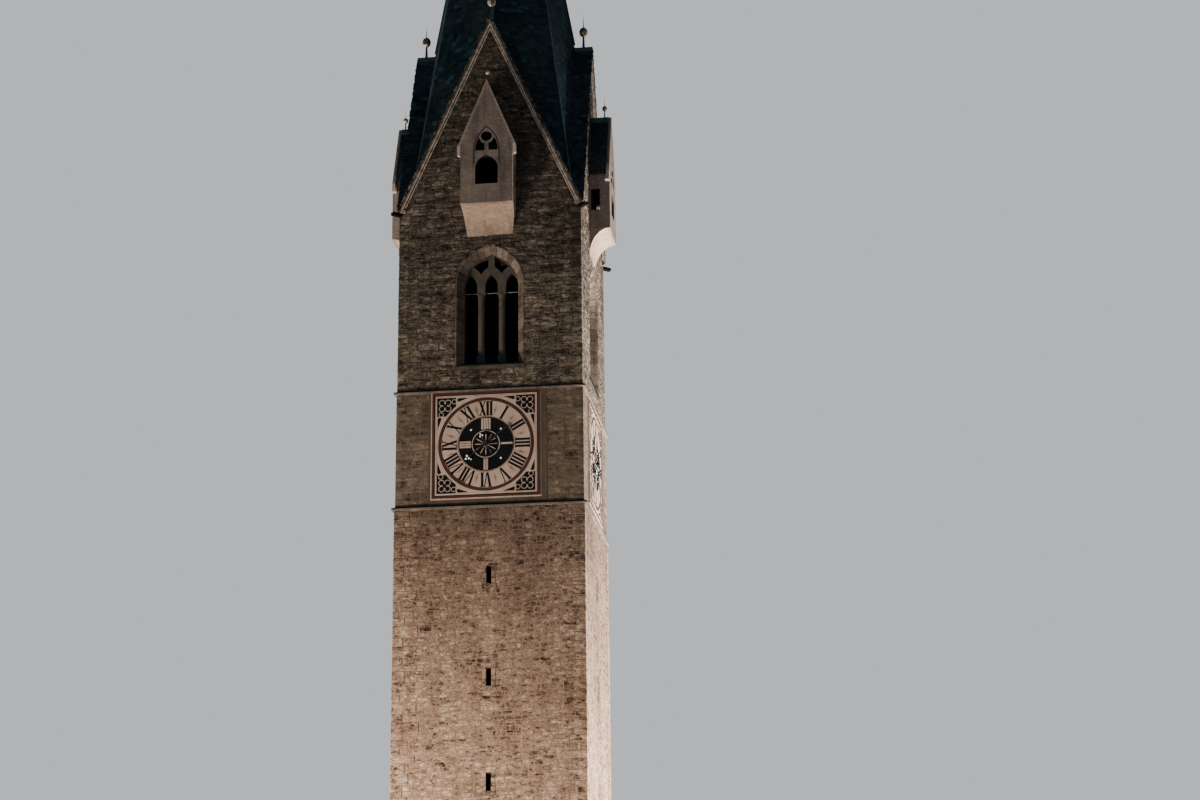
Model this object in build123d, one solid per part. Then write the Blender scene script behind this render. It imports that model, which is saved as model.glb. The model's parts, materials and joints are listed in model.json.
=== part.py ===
from build123d import *
from math import acos, cos, hypot, pi, sin, sqrt
import os

os.makedirs("parts", exist_ok=True)

# Half-size model of a stone church tower 72 m high.
# Lengths are in millimetres, +Z is up, and the front looks along -Y.
# Every side piece is made once for the front and turned about Z for the other sides.

SIDES = {"front": 0, "right": 90, "back": 180, "left": 270}

# Plan
belfry_width = 4100
clock_stage_setoff = 12
shaft_setoff = 14
shaft_wall = 750
clock_wall = 640
belfry_wall = 500
gable_wall = 380

# Heights
shaft_height = 13290
clock_stage_height = 2620
belfry_to_eaves = 4296
gable_rise = 4606
spire_above_gables = 9790

# Floors
ground_floor_thickness = 120
floor_thickness = 110
watch_ledge_below_eaves = 96

# Shaft slits
slit_width = 110
slit_height = 380
slit_inner_width = 420
slit_below_clock_stage = 1330
slit_spacing = 2204
slit_rows = 5

# Entrance
door_half_width = 350
door_spring = 870
door_spread = 80
door_reveal = 200
door_rebate = 50
door_leaf = 60
door_clearance = 3

# String courses
string_projection = 58
string_ledge = 34
string_weathering = 34
string_cavetto = 18

# Belfry windows, measured from the belfry's foot
window_half_width = 610
window_spread = 157
window_sill = 680
window_sill_fall = 110
window_spring = 2462
window_splay = 142
window_reveal = 220
mullion_width = 180
light_spread = 235
tracery_thickness = 150
tracery_rim = 25
tracery_keystone = 140

# Mullion columns
column_radius = 74
column_plinth_width = 186
column_plinth_height = 180
column_base_radius = 86
column_base_height = 185
column_capital_height = 110
column_top = 2280

# Roof and spire
roof_thickness = 45
verge_overhang = 60
spire_shell = 60
spire_inset_at_ridges = 348
spire_inset_at_corners = 1085
ridge_cap_half = 52
ridge_cap_thickness = 14

# Raking copings, kneelers and corner spouts
coping_band = 62
coping_projection = 52
coping_fillet = 44
coping_fillet_projection = 26
coping_corner_gap = 5
kneeler_leg = 130
kneeler_height = 64
kneeler_projection = 56
spout_width = 96
spout_height = 74
spout_projection = 210
spout_channel = 56
spout_floor = 20

# Oriels, measured from the belfry's foot
oriel_half_width = 592
oriel_projection = 490
oriel_shell = 150
oriel_foot = 3563
oriel_foot_half_width = 505
oriel_bracket_top = 4203
oriel_eaves = 5605
oriel_apex = 7060
passage_half_width = 400
passage_spring = 850
passage_spread = 50

# Oriel window and its pierced head
oriel_light_half_width = 257
oriel_light_sill = 4650
oriel_light_spring = 5020
oriel_light_spread = 90
oriel_transom = 5455
oriel_head_spread = 384
oculus_height = 347
oculus_radius = 124
oculus_ring = 45
oriel_mullion = 90

# Oriel cheek windows, roof, verge and consoles
cheek_window_width = 211
cheek_window_height = 517
cheek_window_sill = 4653
cheek_window_from_wall = 50
oriel_roof_thickness = 42
oriel_roof_overhang = 34
oriel_verge_thickness = 70
oriel_verge_rise = 10
console_width = 76
console_depth = 100
console_height = 270
console_lip = 50

# Clock dials
dial_side = 2380
dial_offset = -72
dial_below_belfry = 1246
dial_thickness = 20
dial_relief = 5
dial_border = 58
dial_border_gap = 34
dial_inner_border = 16
dial_ring_radius = 1049
dial_ring_width = 62
dial_annulus_radius = 606
dial_centre_ring_radius = 310
dial_thin_ring = 18
dial_bush_radius = 60
dial_bush_depth = 160

# Clock hands
hand_gap = 34
hand_thickness = 14
hand_spacing = 24
pin_clearance = 0.3
hour_pipe_radius = 30
quarter_arbor_radius = 14
arbor_tail = 80
hour_length = 696
hour_tail = 504
hour_blade_width = 48
hour_stem_width = 26
hour_angle = 52.3
hour_hub_radius = 62
hour_ball_radius = 32
crescent_distance = 548
crescent_radius = 74
crescent_offset = 26
quarter_length = 366
quarter_tail = 200
quarter_blade_width = 34
quarter_stem_width = 20
quarter_angle = 152.0
quarter_hub_radius = 46
quarter_ball_radius = 25
hand_cap_radius = 30

# Shapes that both kinds of hand share: the tail's balls, in ball radii, and the blade's taper
trefoil_reach = 1.15
trefoil_rise = 0.75
blade_shoulder = 0.8
blade_taper = 0.67

# Finials
gable_ball_radius = 100
gable_ball_height = 245
gable_stem_radius = 32
gable_stem_height = 385
gable_spike_height = 400
oriel_ball_radius = 58
oriel_ball_height = 136
oriel_stem_radius = 17
oriel_stem_height = 215
oriel_spike_height = 330
oriel_finial_from_gable = 330
spire_ball_radius = 170
spire_ball_height = 360
spire_stem_radius = 60
spire_stem_height = 420
stem_taper = 0.55
spike_taper = 0.35
cross_height = 800
cross_span = 520
cross_arm_height = 512
cross_bar = 46
finial_foot = 90

# Levels, half widths and slopes that follow
clock_foot = shaft_height
belfry_foot = clock_foot + clock_stage_height
eaves = belfry_foot + belfry_to_eaves
gable_apex = eaves + gable_rise
spire_apex = gable_apex + spire_above_gables
watch_ledge = eaves - watch_ledge_below_eaves
watch_floor_top = watch_ledge + floor_thickness
belfry_half = belfry_width / 2
belfry_corner = belfry_half * sqrt(2)
clock_half = belfry_half + clock_stage_setoff
shaft_half = clock_half + shaft_setoff
spire_radius_at_ridges = belfry_half - spire_inset_at_ridges
spire_radius_at_corners = belfry_corner - spire_inset_at_corners
rake = gable_rise / belfry_half
ridge_top = gable_apex + roof_thickness * hypot(1, rake)
oriel_rake = (oriel_apex - oriel_eaves) / oriel_half_width
oriel_roof_rise = oriel_roof_thickness * hypot(1, oriel_rake)
oriel_ridge_top = belfry_foot + oriel_apex + oriel_roof_rise
oriel_front = belfry_half + oriel_projection
tracery_face = belfry_half - window_reveal
dial_level = belfry_foot - dial_below_belfry
dial_face = clock_half + dial_thickness
tall = 2 * spire_apex


def polygon(*points):
    return Polygon(*points, align=None)


def front_slab(face, outer, thickness):
    """A face drawn in front view, as a slab whose outer side is at y = -outer."""
    return extrude(Plane.XZ.offset(outer - thickness) * face, thickness)


def side_bar(section, half_length):
    """A section drawn in the YZ plane, carried both ways along X."""
    return extrude(Plane.YZ * section, half_length, both=True)


def pointed_arch(half_width, sill, spring, spread):
    """A pointed arch face whose two arcs are centred on the springing line, past the axis."""
    radius = half_width + spread
    turn = acos(spread / radius)
    apex = (0, spring + radius * sin(turn))
    flank = (radius * cos(turn / 2) - spread, spring + radius * sin(turn / 2))
    return make_face([
        Line((-half_width, sill), (half_width, sill)),
        Line((half_width, sill), (half_width, spring)),
        ThreePointArc((half_width, spring), flank, apex),
        ThreePointArc(apex, (-flank[0], flank[1]), (-half_width, spring)),
        Line((-half_width, spring), (-half_width, sill)),
    ])


def gable_face(half_width, foot, shoulder, apex):
    """A rectangle with a triangle on it."""
    return polygon((-half_width, foot), (half_width, foot), (half_width, shoulder),
                   (0, apex), (-half_width, shoulder))


def rake_band(half_width, apex, slope, below, above):
    """A band that follows both rakes of a gable, between two heights off its rake lines."""
    foot = apex - slope * half_width
    return polygon((-half_width, foot + below), (0, apex + below), (half_width, foot + below),
                   (half_width, foot + above), (0, apex + above), (-half_width, foot + above))


def mitred_wall(half, thickness, foot, top):
    """One side of a square tube of wall, with its ends mitred to the next sides."""
    inner = half - thickness
    plan = polygon((-half, -half), (half, -half), (inner, -inner), (-inner, -inner))
    return Pos(0, 0, foot) * extrude(plan, top - foot)


def square_block(half, foot, top):
    return Pos(0, 0, foot) * extrude(Rectangle(2 * half, 2 * half), top - foot)


def front_sector(reach):
    """The quarter of the plan in front of the two diagonals, as a tall wedge."""
    return extrude(polygon((0, 0), (-reach, -reach), (reach, -reach)), tall)


def pyramid(apex, foot):
    """An eight-sided pyramid with the spire's slopes."""
    fall = (apex - foot) / spire_above_gables
    corners = []
    for step in range(8):
        radius = spire_radius_at_corners if step % 2 else spire_radius_at_ridges
        corners.append(Vector(radius * fall, 0, foot).rotate(Axis.Z, 45 * step))
    tip = Vector(0, 0, apex)
    faces = [Face(Wire.make_polygon(corners))]
    for start, end in zip(corners, corners[1:] + corners[:1]):
        faces.append(Face(Wire.make_polygon([start, end, tip])))
    return Part() + Solid(Shell(faces))


def turned(shape, side):
    return shape.rotate(Axis.Z, SIDES[side])


def save(shape, node):
    export_step(shape, f"parts/{node}.step")


def save_each_side(shape, name):
    """One node for each side of the tower."""
    for side in SIDES:
        save(turned(shape, side), f"{side}_{name}")


def save_all_sides(shapes, node):
    """One node with copies of the pieces on every side."""
    save(Compound([turned(shape, side) for side in SIDES for shape in shapes]), node)


# Shaft walls with slits, and the doorway at the back
def shaft_slits():
    inner = shaft_half - shaft_wall
    embrasure = polygon((-slit_width / 2, -shaft_half), (slit_width / 2, -shaft_half),
                        (slit_inner_width / 2, -inner), (-slit_inner_width / 2, -inner))
    top_row = clock_foot - slit_below_clock_stage - slit_height
    return [Pos(0, 0, top_row - row * slit_spacing) * extrude(embrasure, slit_height)
            for row in range(slit_rows)]


def door_arch(widening):
    return pointed_arch(door_half_width + widening, ground_floor_thickness, door_spring, door_spread)


shaft_side = mitred_wall(shaft_half, shaft_wall, 0, shaft_height) - shaft_slits()
doorway = front_slab(door_arch(0), shaft_half, door_reveal)
door_room = front_slab(door_arch(door_rebate), shaft_half - door_reveal, shaft_wall - door_reveal)
for side in SIDES:
    wall = shaft_side - doorway - door_room if side == "back" else shaft_side
    save(turned(wall, side), f"{side}_shaft_wall")
door = front_slab(door_arch(door_rebate - door_clearance), shaft_half - door_reveal, door_leaf)
save(turned(door, "back"), "entrance_door")

# Clock stage walls, bored for the arbors of the hands
dial_centre = Pos(dial_offset, dial_level)
arbor_bore = front_slab(dial_centre * Circle(dial_bush_radius), clock_half, clock_wall)
save_each_side(mitred_wall(clock_half, clock_wall, clock_foot, belfry_foot) - arbor_bore, "clock_wall")


# String courses
def string_course(level, lower_half, upper_half):
    """A weathered ledge over a cavetto, mitred round the square and seated on the set-off."""
    nose = lower_half + string_projection
    ledge = level - string_ledge
    foot = ledge - string_cavetto
    hollow = string_cavetto * sin(pi / 4)
    section = make_face([
        Line((-upper_half, level + string_weathering), (-nose, level)),
        Line((-nose, level), (-nose, ledge)),
        Line((-nose, ledge), (-lower_half - string_cavetto, ledge)),
        ThreePointArc((-lower_half - string_cavetto, ledge),
                      (-lower_half - string_cavetto + hollow, foot + hollow),
                      (-lower_half, foot)),
        Line((-lower_half, foot), (-lower_half, level)),
        Line((-lower_half, level), (-upper_half, level)),
        Line((-upper_half, level), (-upper_half, level + string_weathering)),
    ])
    length = side_bar(section, 2 * nose) & front_sector(2 * nose)
    ring = Part()
    for side in SIDES:
        ring += turned(length, side)
    return ring


save(string_course(clock_foot, shaft_half, clock_half), "lower_string_course")
save(string_course(belfry_foot, clock_half, belfry_half), "upper_string_course")


# Belfry walls, which run up into the gables
def window_arch(widening, sill):
    return pointed_arch(window_half_width + widening, belfry_foot + sill,
                        belfry_foot + window_spring, window_spread)


outer_arch = Plane.XZ.offset(belfry_half) * window_arch(window_splay, window_sill - window_sill_fall)
inner_arch = Plane.XZ.offset(tracery_face) * window_arch(0, window_sill)
splay = loft([outer_arch, inner_arch], ruled=True)
window_hole = front_slab(window_arch(0, window_sill), tracery_face, belfry_wall - window_reveal)
passage_arch = pointed_arch(passage_half_width, watch_floor_top, watch_floor_top + passage_spring,
                            passage_spread)
passage = front_slab(passage_arch, belfry_half, gable_wall)
belfry_side = mitred_wall(belfry_half, belfry_wall, belfry_foot, watch_ledge)
belfry_side += mitred_wall(belfry_half, gable_wall, watch_ledge, gable_apex)
gable_outline = gable_face(belfry_half, belfry_foot, eaves, gable_apex)
belfry_side = belfry_side & front_slab(gable_outline, belfry_half, belfry_wall)
save_each_side(belfry_side - splay - window_hole - passage, "belfry_wall")

# Belfry tracery
light_half = (window_half_width - mullion_width) / 3
light_pitch = 2 * light_half + mullion_width


def window_lights(widening):
    arch = pointed_arch(light_half + widening, belfry_foot + window_sill,
                        belfry_foot + window_spring, light_spread)
    return [Pos(step * light_pitch, 0) * arch for step in (-1, 0, 1)]


def mullion_column():
    """A round mullion on a square plinth, with a drum under a roll at its base, and a capital."""
    foot = belfry_foot + window_sill
    base = foot + column_plinth_height
    shaft = base + column_base_height
    neck = belfry_foot + column_top - column_capital_height
    top = belfry_foot + column_top
    roll = (column_base_radius - column_radius) / 2
    drum = column_base_radius - roll
    profile = make_face([
        Line((0, base), (drum, base)),
        Line((drum, base), (drum, shaft - 2 * roll)),
        ThreePointArc((drum, shaft - 2 * roll), (column_base_radius, shaft - roll), (drum, shaft)),
        Line((drum, shaft), (column_radius, shaft)),
        Line((column_radius, shaft), (column_radius, neck)),
        ThreePointArc((column_radius, neck), (column_radius + roll, neck + roll),
                      (column_radius, neck + 2 * roll)),
        Line((column_radius, neck + 2 * roll), (mullion_width / 2, top)),
        Line((mullion_width / 2, top), (0, top)),
        Line((0, top), (0, base)),
    ])
    plinth = Pos(0, 0, foot) * extrude(Rectangle(column_plinth_width, column_plinth_width),
                                       column_plinth_height)
    return plinth + revolve(Plane.XZ * profile, Axis.Z)


eyes = window_arch(-tracery_rim, window_sill) - window_lights(mullion_width)
eyes -= Pos(0, belfry_foot + window_spring) * Rectangle(tracery_keystone, belfry_width)
plate = window_arch(0, column_top) - window_lights(0) - eyes
tracery = front_slab(plate, tracery_face, tracery_thickness)
for step in (-1, 1):
    tracery += Pos(step * light_pitch / 2, tracery_thickness / 2 - tracery_face, 0) * mullion_column()
save_each_side(tracery, "belfry_tracery")

# Floors, each on the set-off of the wall below it
save(square_block(shaft_half - shaft_wall, 0, ground_floor_thickness), "ground_floor")
save(square_block(belfry_half - belfry_wall, belfry_foot, belfry_foot + floor_thickness), "belfry_floor")
save(square_block(belfry_half - gable_wall, watch_ledge, watch_floor_top), "watch_floor")

# Spire and gable roofs
spire_outer = pyramid(spire_apex, eaves)
edge = hypot(spire_radius_at_ridges - spire_radius_at_corners * sin(pi / 4),
             spire_radius_at_corners * sin(pi / 4))
face_distance = spire_radius_at_ridges * spire_radius_at_corners * sin(pi / 4) / edge
spire_drop = spire_shell * hypot(face_distance, spire_above_gables) / face_distance
spire_inner = pyramid(spire_apex - spire_drop, eaves)
attic_face = polygon((0, gable_apex), (-belfry_width, gable_apex - rake * belfry_width),
                     (belfry_width, gable_apex - rake * belfry_width))
attic = front_slab(attic_face, belfry_width, 2 * belfry_width)
attic += turned(attic, "right")
save(spire_outer - spire_inner - attic, "spire")

roof_face = rake_band(belfry_half, gable_apex, rake, 0, ridge_top - gable_apex)
roof_reach = belfry_half + verge_overhang
gable_roof = front_slab(roof_face, roof_reach, roof_reach) & front_sector(belfry_width)
save_each_side(gable_roof - spire_outer, "gable_roof")

# Oriels: a bracket, walls with a pierced front, and a window in each cheek
bracket_side = make_face([
    Line((-belfry_half, belfry_foot + oriel_foot), (-belfry_half, belfry_foot + oriel_bracket_top)),
    Line((-belfry_half, belfry_foot + oriel_bracket_top), (-oriel_front, belfry_foot + oriel_bracket_top)),
    EllipticalCenterArc((-oriel_front, belfry_foot + oriel_foot), oriel_projection,
                        oriel_bracket_top - oriel_foot, arc_size=90),
])
bracket_face = polygon((-oriel_foot_half_width, belfry_foot + oriel_foot),
                       (oriel_foot_half_width, belfry_foot + oriel_foot),
                       (oriel_half_width, belfry_foot + oriel_bracket_top),
                       (-oriel_half_width, belfry_foot + oriel_bracket_top))
bracket = side_bar(bracket_side, oriel_half_width) & front_slab(bracket_face, oriel_front, oriel_projection)

oriel_body = gable_face(oriel_half_width, belfry_foot + oriel_bracket_top,
                        belfry_foot + oriel_eaves, belfry_foot + oriel_apex)
room_half = oriel_half_width - oriel_shell
room_apex = belfry_foot + oriel_apex - oriel_shell * hypot(1, oriel_rake)
oriel_room = gable_face(room_half, watch_floor_top, room_apex - oriel_rake * room_half, room_apex)
room_depth = oriel_projection - oriel_shell

transom = belfry_foot + oriel_transom
oriel_light = pointed_arch(oriel_light_half_width, belfry_foot + oriel_light_sill,
                           belfry_foot + oriel_light_spring, oriel_light_spread)
head = pointed_arch(oriel_light_half_width, transom - oculus_height, transom, oriel_head_spread)
head -= Pos(0, transom - oculus_height) * Rectangle(belfry_width, 2 * oculus_height)
oculus_centre = Pos(0, transom + oculus_height)
head -= oculus_centre * Circle(oculus_radius + oculus_ring)
head -= Pos(0, transom + oculus_height) * Rectangle(oriel_mullion, belfry_width)
piercing = oriel_light + head + oculus_centre * Circle(oculus_radius)

cheek_middle = belfry_half + cheek_window_from_wall + cheek_window_width / 2
cheek_windows = Pos(0, -cheek_middle, belfry_foot + cheek_window_sill + cheek_window_height / 2)
cheek_windows *= Box(2 * oriel_half_width, cheek_window_width, cheek_window_height)

console_reach = oriel_half_width + console_width
console_top = belfry_foot + oriel_eaves - oriel_rake * console_width
console = polygon((oriel_half_width, belfry_foot + oriel_eaves),
                  (oriel_half_width, belfry_foot + oriel_eaves - console_height),
                  (console_reach, console_top - console_lip),
                  (console_reach, console_top))
consoles = front_slab(console + mirror(console, Plane.YZ), oriel_front, console_depth)
verge_top = oriel_roof_rise + oriel_verge_rise * hypot(1, oriel_rake)
verge = rake_band(console_reach, belfry_foot + oriel_apex, oriel_rake, 0, verge_top)

oriel = bracket + front_slab(oriel_body, oriel_front, oriel_projection) + consoles
oriel += front_slab(verge, oriel_front, oriel_verge_thickness)
oriel -= front_slab(oriel_room, belfry_half + room_depth, room_depth)
oriel -= front_slab(piercing, oriel_front, oriel_shell)
oriel -= cheek_windows
save_each_side(oriel, "oriel")

oriel_roof_half = oriel_half_width + oriel_roof_overhang
oriel_roof_face = rake_band(oriel_roof_half, belfry_foot + oriel_apex, oriel_rake, 0, oriel_roof_rise)
oriel_roof_reach = oriel_front - oriel_verge_thickness
oriel_roof_length = oriel_projection - oriel_verge_thickness
save_all_sides([front_slab(oriel_roof_face, oriel_roof_reach, oriel_roof_length)], "oriel_roofs")

# Ridge caps
cap_rise = ridge_cap_thickness * hypot(1, rake)
gable_cap = front_slab(rake_band(ridge_cap_half, ridge_top, rake, 0, cap_rise), roof_reach, roof_reach)
gable_cap -= spire_outer
oriel_cap_rise = ridge_cap_thickness * hypot(1, oriel_rake)
oriel_cap = front_slab(rake_band(ridge_cap_half, oriel_ridge_top, oriel_rake, 0, oriel_cap_rise),
                       oriel_roof_reach, oriel_roof_length)
save_all_sides([gable_cap, oriel_cap], "ridge_caps")

# Raking copings, and the kneelers that they stand on
slant = hypot(1, rake)
coping_half = belfry_half - coping_corner_gap
outer_band = rake_band(coping_half, gable_apex, rake, -coping_band * slant, 0)
inner_band = rake_band(coping_half, gable_apex, rake, -(coping_band + coping_fillet) * slant,
                       -coping_band * slant)
coping = front_slab(outer_band, belfry_half + coping_projection, coping_projection)
coping += front_slab(inner_band, belfry_half + coping_fillet_projection, coping_fillet_projection)
coping -= square_block(belfry_width, 0, eaves)
save_all_sides([coping], "gable_copings")

kneeler = square_block(belfry_half + kneeler_projection, eaves - kneeler_height, eaves)
kneeler -= square_block(belfry_half, 0, spire_apex)
corner_box = Pos(belfry_half, -belfry_half, eaves) * Box(2 * kneeler_leg, 2 * kneeler_leg, belfry_width)
save_all_sides([kneeler & corner_box], "corner_kneelers")

# Corner spouts, notched to the corner below the kneelers
spout_top = eaves - kneeler_height
spout_length = spout_projection + spout_width
spout = Box(spout_length, spout_width, spout_height)
spout -= Pos(0, 0, spout_floor) * Box(spout_length, spout_channel, spout_height)
spout = Rot(0, 0, -45) * Pos(belfry_corner + spout_projection - spout_length / 2, 0,
                             spout_top - spout_height / 2) * spout
save_all_sides([spout - square_block(belfry_half, 0, spire_apex)], "corner_spouts")

# Clock dials
def frame_ring(side, width):
    return Rectangle(side, side) - Rectangle(side - 2 * width, side - 2 * width)


def round_ring(radius, width):
    return Circle(radius) - Circle(radius - width)


inner_frame = dial_side - 2 * (dial_border + dial_border_gap)
relief = [
    frame_ring(dial_side, dial_border),
    frame_ring(inner_frame, dial_inner_border),
    round_ring(dial_ring_radius, dial_ring_width),
    round_ring(dial_annulus_radius, dial_thin_ring),
    round_ring(dial_centre_ring_radius, dial_thin_ring),
]
dial = front_slab(dial_centre * Rectangle(dial_side, dial_side), dial_face, dial_thickness)
for ring in relief:
    dial += front_slab(dial_centre * ring, dial_face + dial_relief, dial_relief)
dial += front_slab(dial_centre * Circle(dial_bush_radius), clock_half, dial_bush_depth)
bush_bore = Circle(hour_pipe_radius + pin_clearance)
dial -= front_slab(dial_centre * bush_bore, dial_face, dial_thickness + dial_bush_depth)
save_all_sides([dial], "clock_dials")

# Clock hands, drawn pointing to twelve and turned to the hour
hour_back = dial_face + dial_relief + hand_gap
quarter_back = hour_back + hand_thickness + hand_spacing
arbor_end = clock_half - clock_wall - arbor_tail


def trefoil(distance, ball_radius):
    """The places of three balls at a hand's tail."""
    rise = trefoil_rise * ball_radius - distance
    reach = trefoil_reach * ball_radius
    return [Pos(0, -distance - ball_radius), Pos(reach, rise), Pos(-reach, rise)]


def hand_outline(length, blade_width, tail, stem_width, hub_radius, ball_radius):
    """A tapered blade, a tail with a trefoil of balls, and a hub."""
    half_root = blade_width / 2
    half_end = half_root * blade_taper
    shoulder = blade_shoulder * length
    blade = polygon((-half_root, 0), (half_root, 0), (half_end, shoulder), (0, length), (-half_end, shoulder))
    stem = Pos(0, -tail / 2) * Rectangle(stem_width, tail + ball_radius)
    return [blade, stem, Circle(hub_radius)] + [place * Circle(ball_radius)
                                                for place in trefoil(tail, ball_radius)]


def hand(outline, back, angle, tail, ball_radius):
    aim = dial_centre * Rot(0, 0, -angle)
    flat = Sketch()
    for piece in outline:
        flat += piece
    solid = front_slab(aim * flat, back + hand_thickness, hand_thickness)
    for place in trefoil(tail, ball_radius):
        solid += Plane.XZ.offset(back) * aim * place * Sphere(ball_radius, 0)
    return solid


crescent = Pos(0, crescent_distance) * Circle(crescent_radius)
crescent -= Pos(0, crescent_distance - crescent_offset) * Circle(crescent_radius)
hour_outline = hand_outline(hour_length, hour_blade_width, hour_tail, hour_stem_width,
                            hour_hub_radius, hour_ball_radius)
hour_hand = hand(hour_outline + [crescent], hour_back, hour_angle, hour_tail, hour_ball_radius)
hour_hand += front_slab(dial_centre * Circle(hour_pipe_radius), hour_back, hour_back - arbor_end)
pipe_bore = front_slab(dial_centre * Circle(quarter_arbor_radius + pin_clearance),
                       hour_back + hand_thickness, belfry_width)
save_each_side(hour_hand - pipe_bore, "hour_hand")

quarter_outline = hand_outline(quarter_length, quarter_blade_width, quarter_tail, quarter_stem_width,
                               quarter_hub_radius, quarter_ball_radius)
quarter_hand = hand(quarter_outline, quarter_back, quarter_angle, quarter_tail, quarter_ball_radius)
quarter_end = arbor_end - arbor_tail
quarter_hand += front_slab(dial_centre * Circle(quarter_arbor_radius), quarter_back,
                           quarter_back - quarter_end)
quarter_hand += Plane.XZ.offset(quarter_back) * dial_centre * Sphere(hand_cap_radius, 0)
save_each_side(quarter_hand, "quarter_hand")


# Finials
def finial(foot, stem_radius, stem_height, ball_radius, ball_height, spike_height):
    """An egg-shaped ball on a tapered stem, under a thin spike, turned about its own axis."""
    ball_level = foot + stem_height
    ball_top = ball_level + ball_height / 2
    profile = polygon((0, foot - finial_foot), (stem_radius, foot - finial_foot), (stem_radius, foot),
                      (stem_radius * stem_taper, ball_level), (stem_radius * spike_taper, ball_top),
                      (0, ball_top + spike_height))
    profile += Pos(0, ball_level) * Ellipse(ball_radius, ball_height / 2)
    right_half = Pos(belfry_half, 0) * Rectangle(belfry_width, 2 * tall)
    return revolve(Plane.XZ * (profile & right_half), Axis.Z)


ridge_foot = ridge_top + cap_rise
ridge_end = spire_radius_at_ridges * (spire_apex - ridge_top) / spire_above_gables
finial_place = Pos(0, -(roof_reach + ridge_end) / 2, 0)
ridge_wedge = front_slab(rake_band(belfry_width, ridge_foot, rake, -belfry_width * rake, 0),
                         roof_reach, roof_reach)
gable_finial = finial_place * finial(ridge_foot, gable_stem_radius, gable_stem_height,
                                     gable_ball_radius, gable_ball_height, gable_spike_height)
oriel_ridge_foot = oriel_ridge_top + oriel_cap_rise
oriel_wedge = front_slab(rake_band(belfry_half, oriel_ridge_foot, oriel_rake,
                                   -belfry_half * oriel_rake, 0), oriel_front, belfry_half)
oriel_place = Pos(0, -(belfry_half + oriel_finial_from_gable), 0)
oriel_finial = oriel_place * finial(oriel_ridge_foot, oriel_stem_radius, oriel_stem_height,
                                    oriel_ball_radius, oriel_ball_height, oriel_spike_height)
save_all_sides([gable_finial - ridge_wedge, oriel_finial - oriel_wedge], "roof_finials")

cross_foot = spire_apex + spire_stem_height + spire_ball_height / 2
spire_finial = finial(spire_apex, spire_stem_radius, spire_stem_height, spire_ball_radius,
                      spire_ball_height, cross_height / 2)
spire_finial += Pos(0, 0, cross_foot + cross_height / 2) * Box(cross_bar, cross_bar, cross_height)
spire_finial += Pos(0, 0, cross_foot + cross_arm_height) * Box(cross_span, cross_bar, cross_bar)
save(spire_finial - spire_outer, "spire_finial")
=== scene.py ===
import itertools
import json
import math
import random

import bpy
from mathutils import Matrix, Vector, noise


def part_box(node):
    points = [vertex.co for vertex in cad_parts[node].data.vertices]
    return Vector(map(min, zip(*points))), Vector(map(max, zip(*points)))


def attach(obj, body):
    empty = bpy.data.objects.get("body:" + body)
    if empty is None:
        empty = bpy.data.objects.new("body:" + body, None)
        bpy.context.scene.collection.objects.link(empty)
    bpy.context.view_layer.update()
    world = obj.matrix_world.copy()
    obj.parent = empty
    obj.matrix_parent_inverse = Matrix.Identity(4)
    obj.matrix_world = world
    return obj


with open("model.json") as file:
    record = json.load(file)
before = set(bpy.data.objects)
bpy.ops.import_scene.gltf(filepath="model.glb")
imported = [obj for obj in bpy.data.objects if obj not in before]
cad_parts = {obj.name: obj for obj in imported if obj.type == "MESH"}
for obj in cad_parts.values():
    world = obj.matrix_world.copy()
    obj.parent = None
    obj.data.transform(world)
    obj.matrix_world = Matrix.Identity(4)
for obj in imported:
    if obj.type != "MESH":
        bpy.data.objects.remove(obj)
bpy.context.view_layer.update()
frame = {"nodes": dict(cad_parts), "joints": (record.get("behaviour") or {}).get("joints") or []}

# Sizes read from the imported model, in metres
SIDES = {"front": 0, "right": 90, "back": 180, "left": 270}
BELFRY = -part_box("front_belfry_wall")[0].y
CLOCK = -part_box("front_clock_wall")[0].y
SHAFT = -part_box("front_shaft_wall")[0].y
CLOCK_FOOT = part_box("front_clock_wall")[0].z
BELFRY_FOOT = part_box("front_belfry_wall")[0].z
GABLE_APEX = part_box("front_belfry_wall")[1].z
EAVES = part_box("corner_kneelers")[1].z
RAKE = (GABLE_APEX - EAVES) / BELFRY
ROOF_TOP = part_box("front_gable_roof")[1].z
ROOF_REACH = -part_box("front_gable_roof")[0].y
SPIRE_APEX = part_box("spire")[1].z
ORIEL_FRONT = -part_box("front_oriel")[0].y
ORIEL_ROOF_REACH = -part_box("oriel_roofs")[0].y
ORIEL_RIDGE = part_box("oriel_roofs")[1].z
ORIEL_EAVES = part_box("oriel_roofs")[0].z
NOSE = {"lower": -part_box("lower_string_course")[0].y, "upper": -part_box("upper_string_course")[0].y}
DIAL_X, DIAL_Y, DIAL_Z = next(j["pos_m"] for j in frame["joints"] if j["name"] == "front_hour_turn")
DIAL_FACE = -DIAL_Y
DIAL_HALF = (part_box("clock_dials")[1].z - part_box("clock_dials")[0].z) / 2

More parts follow.
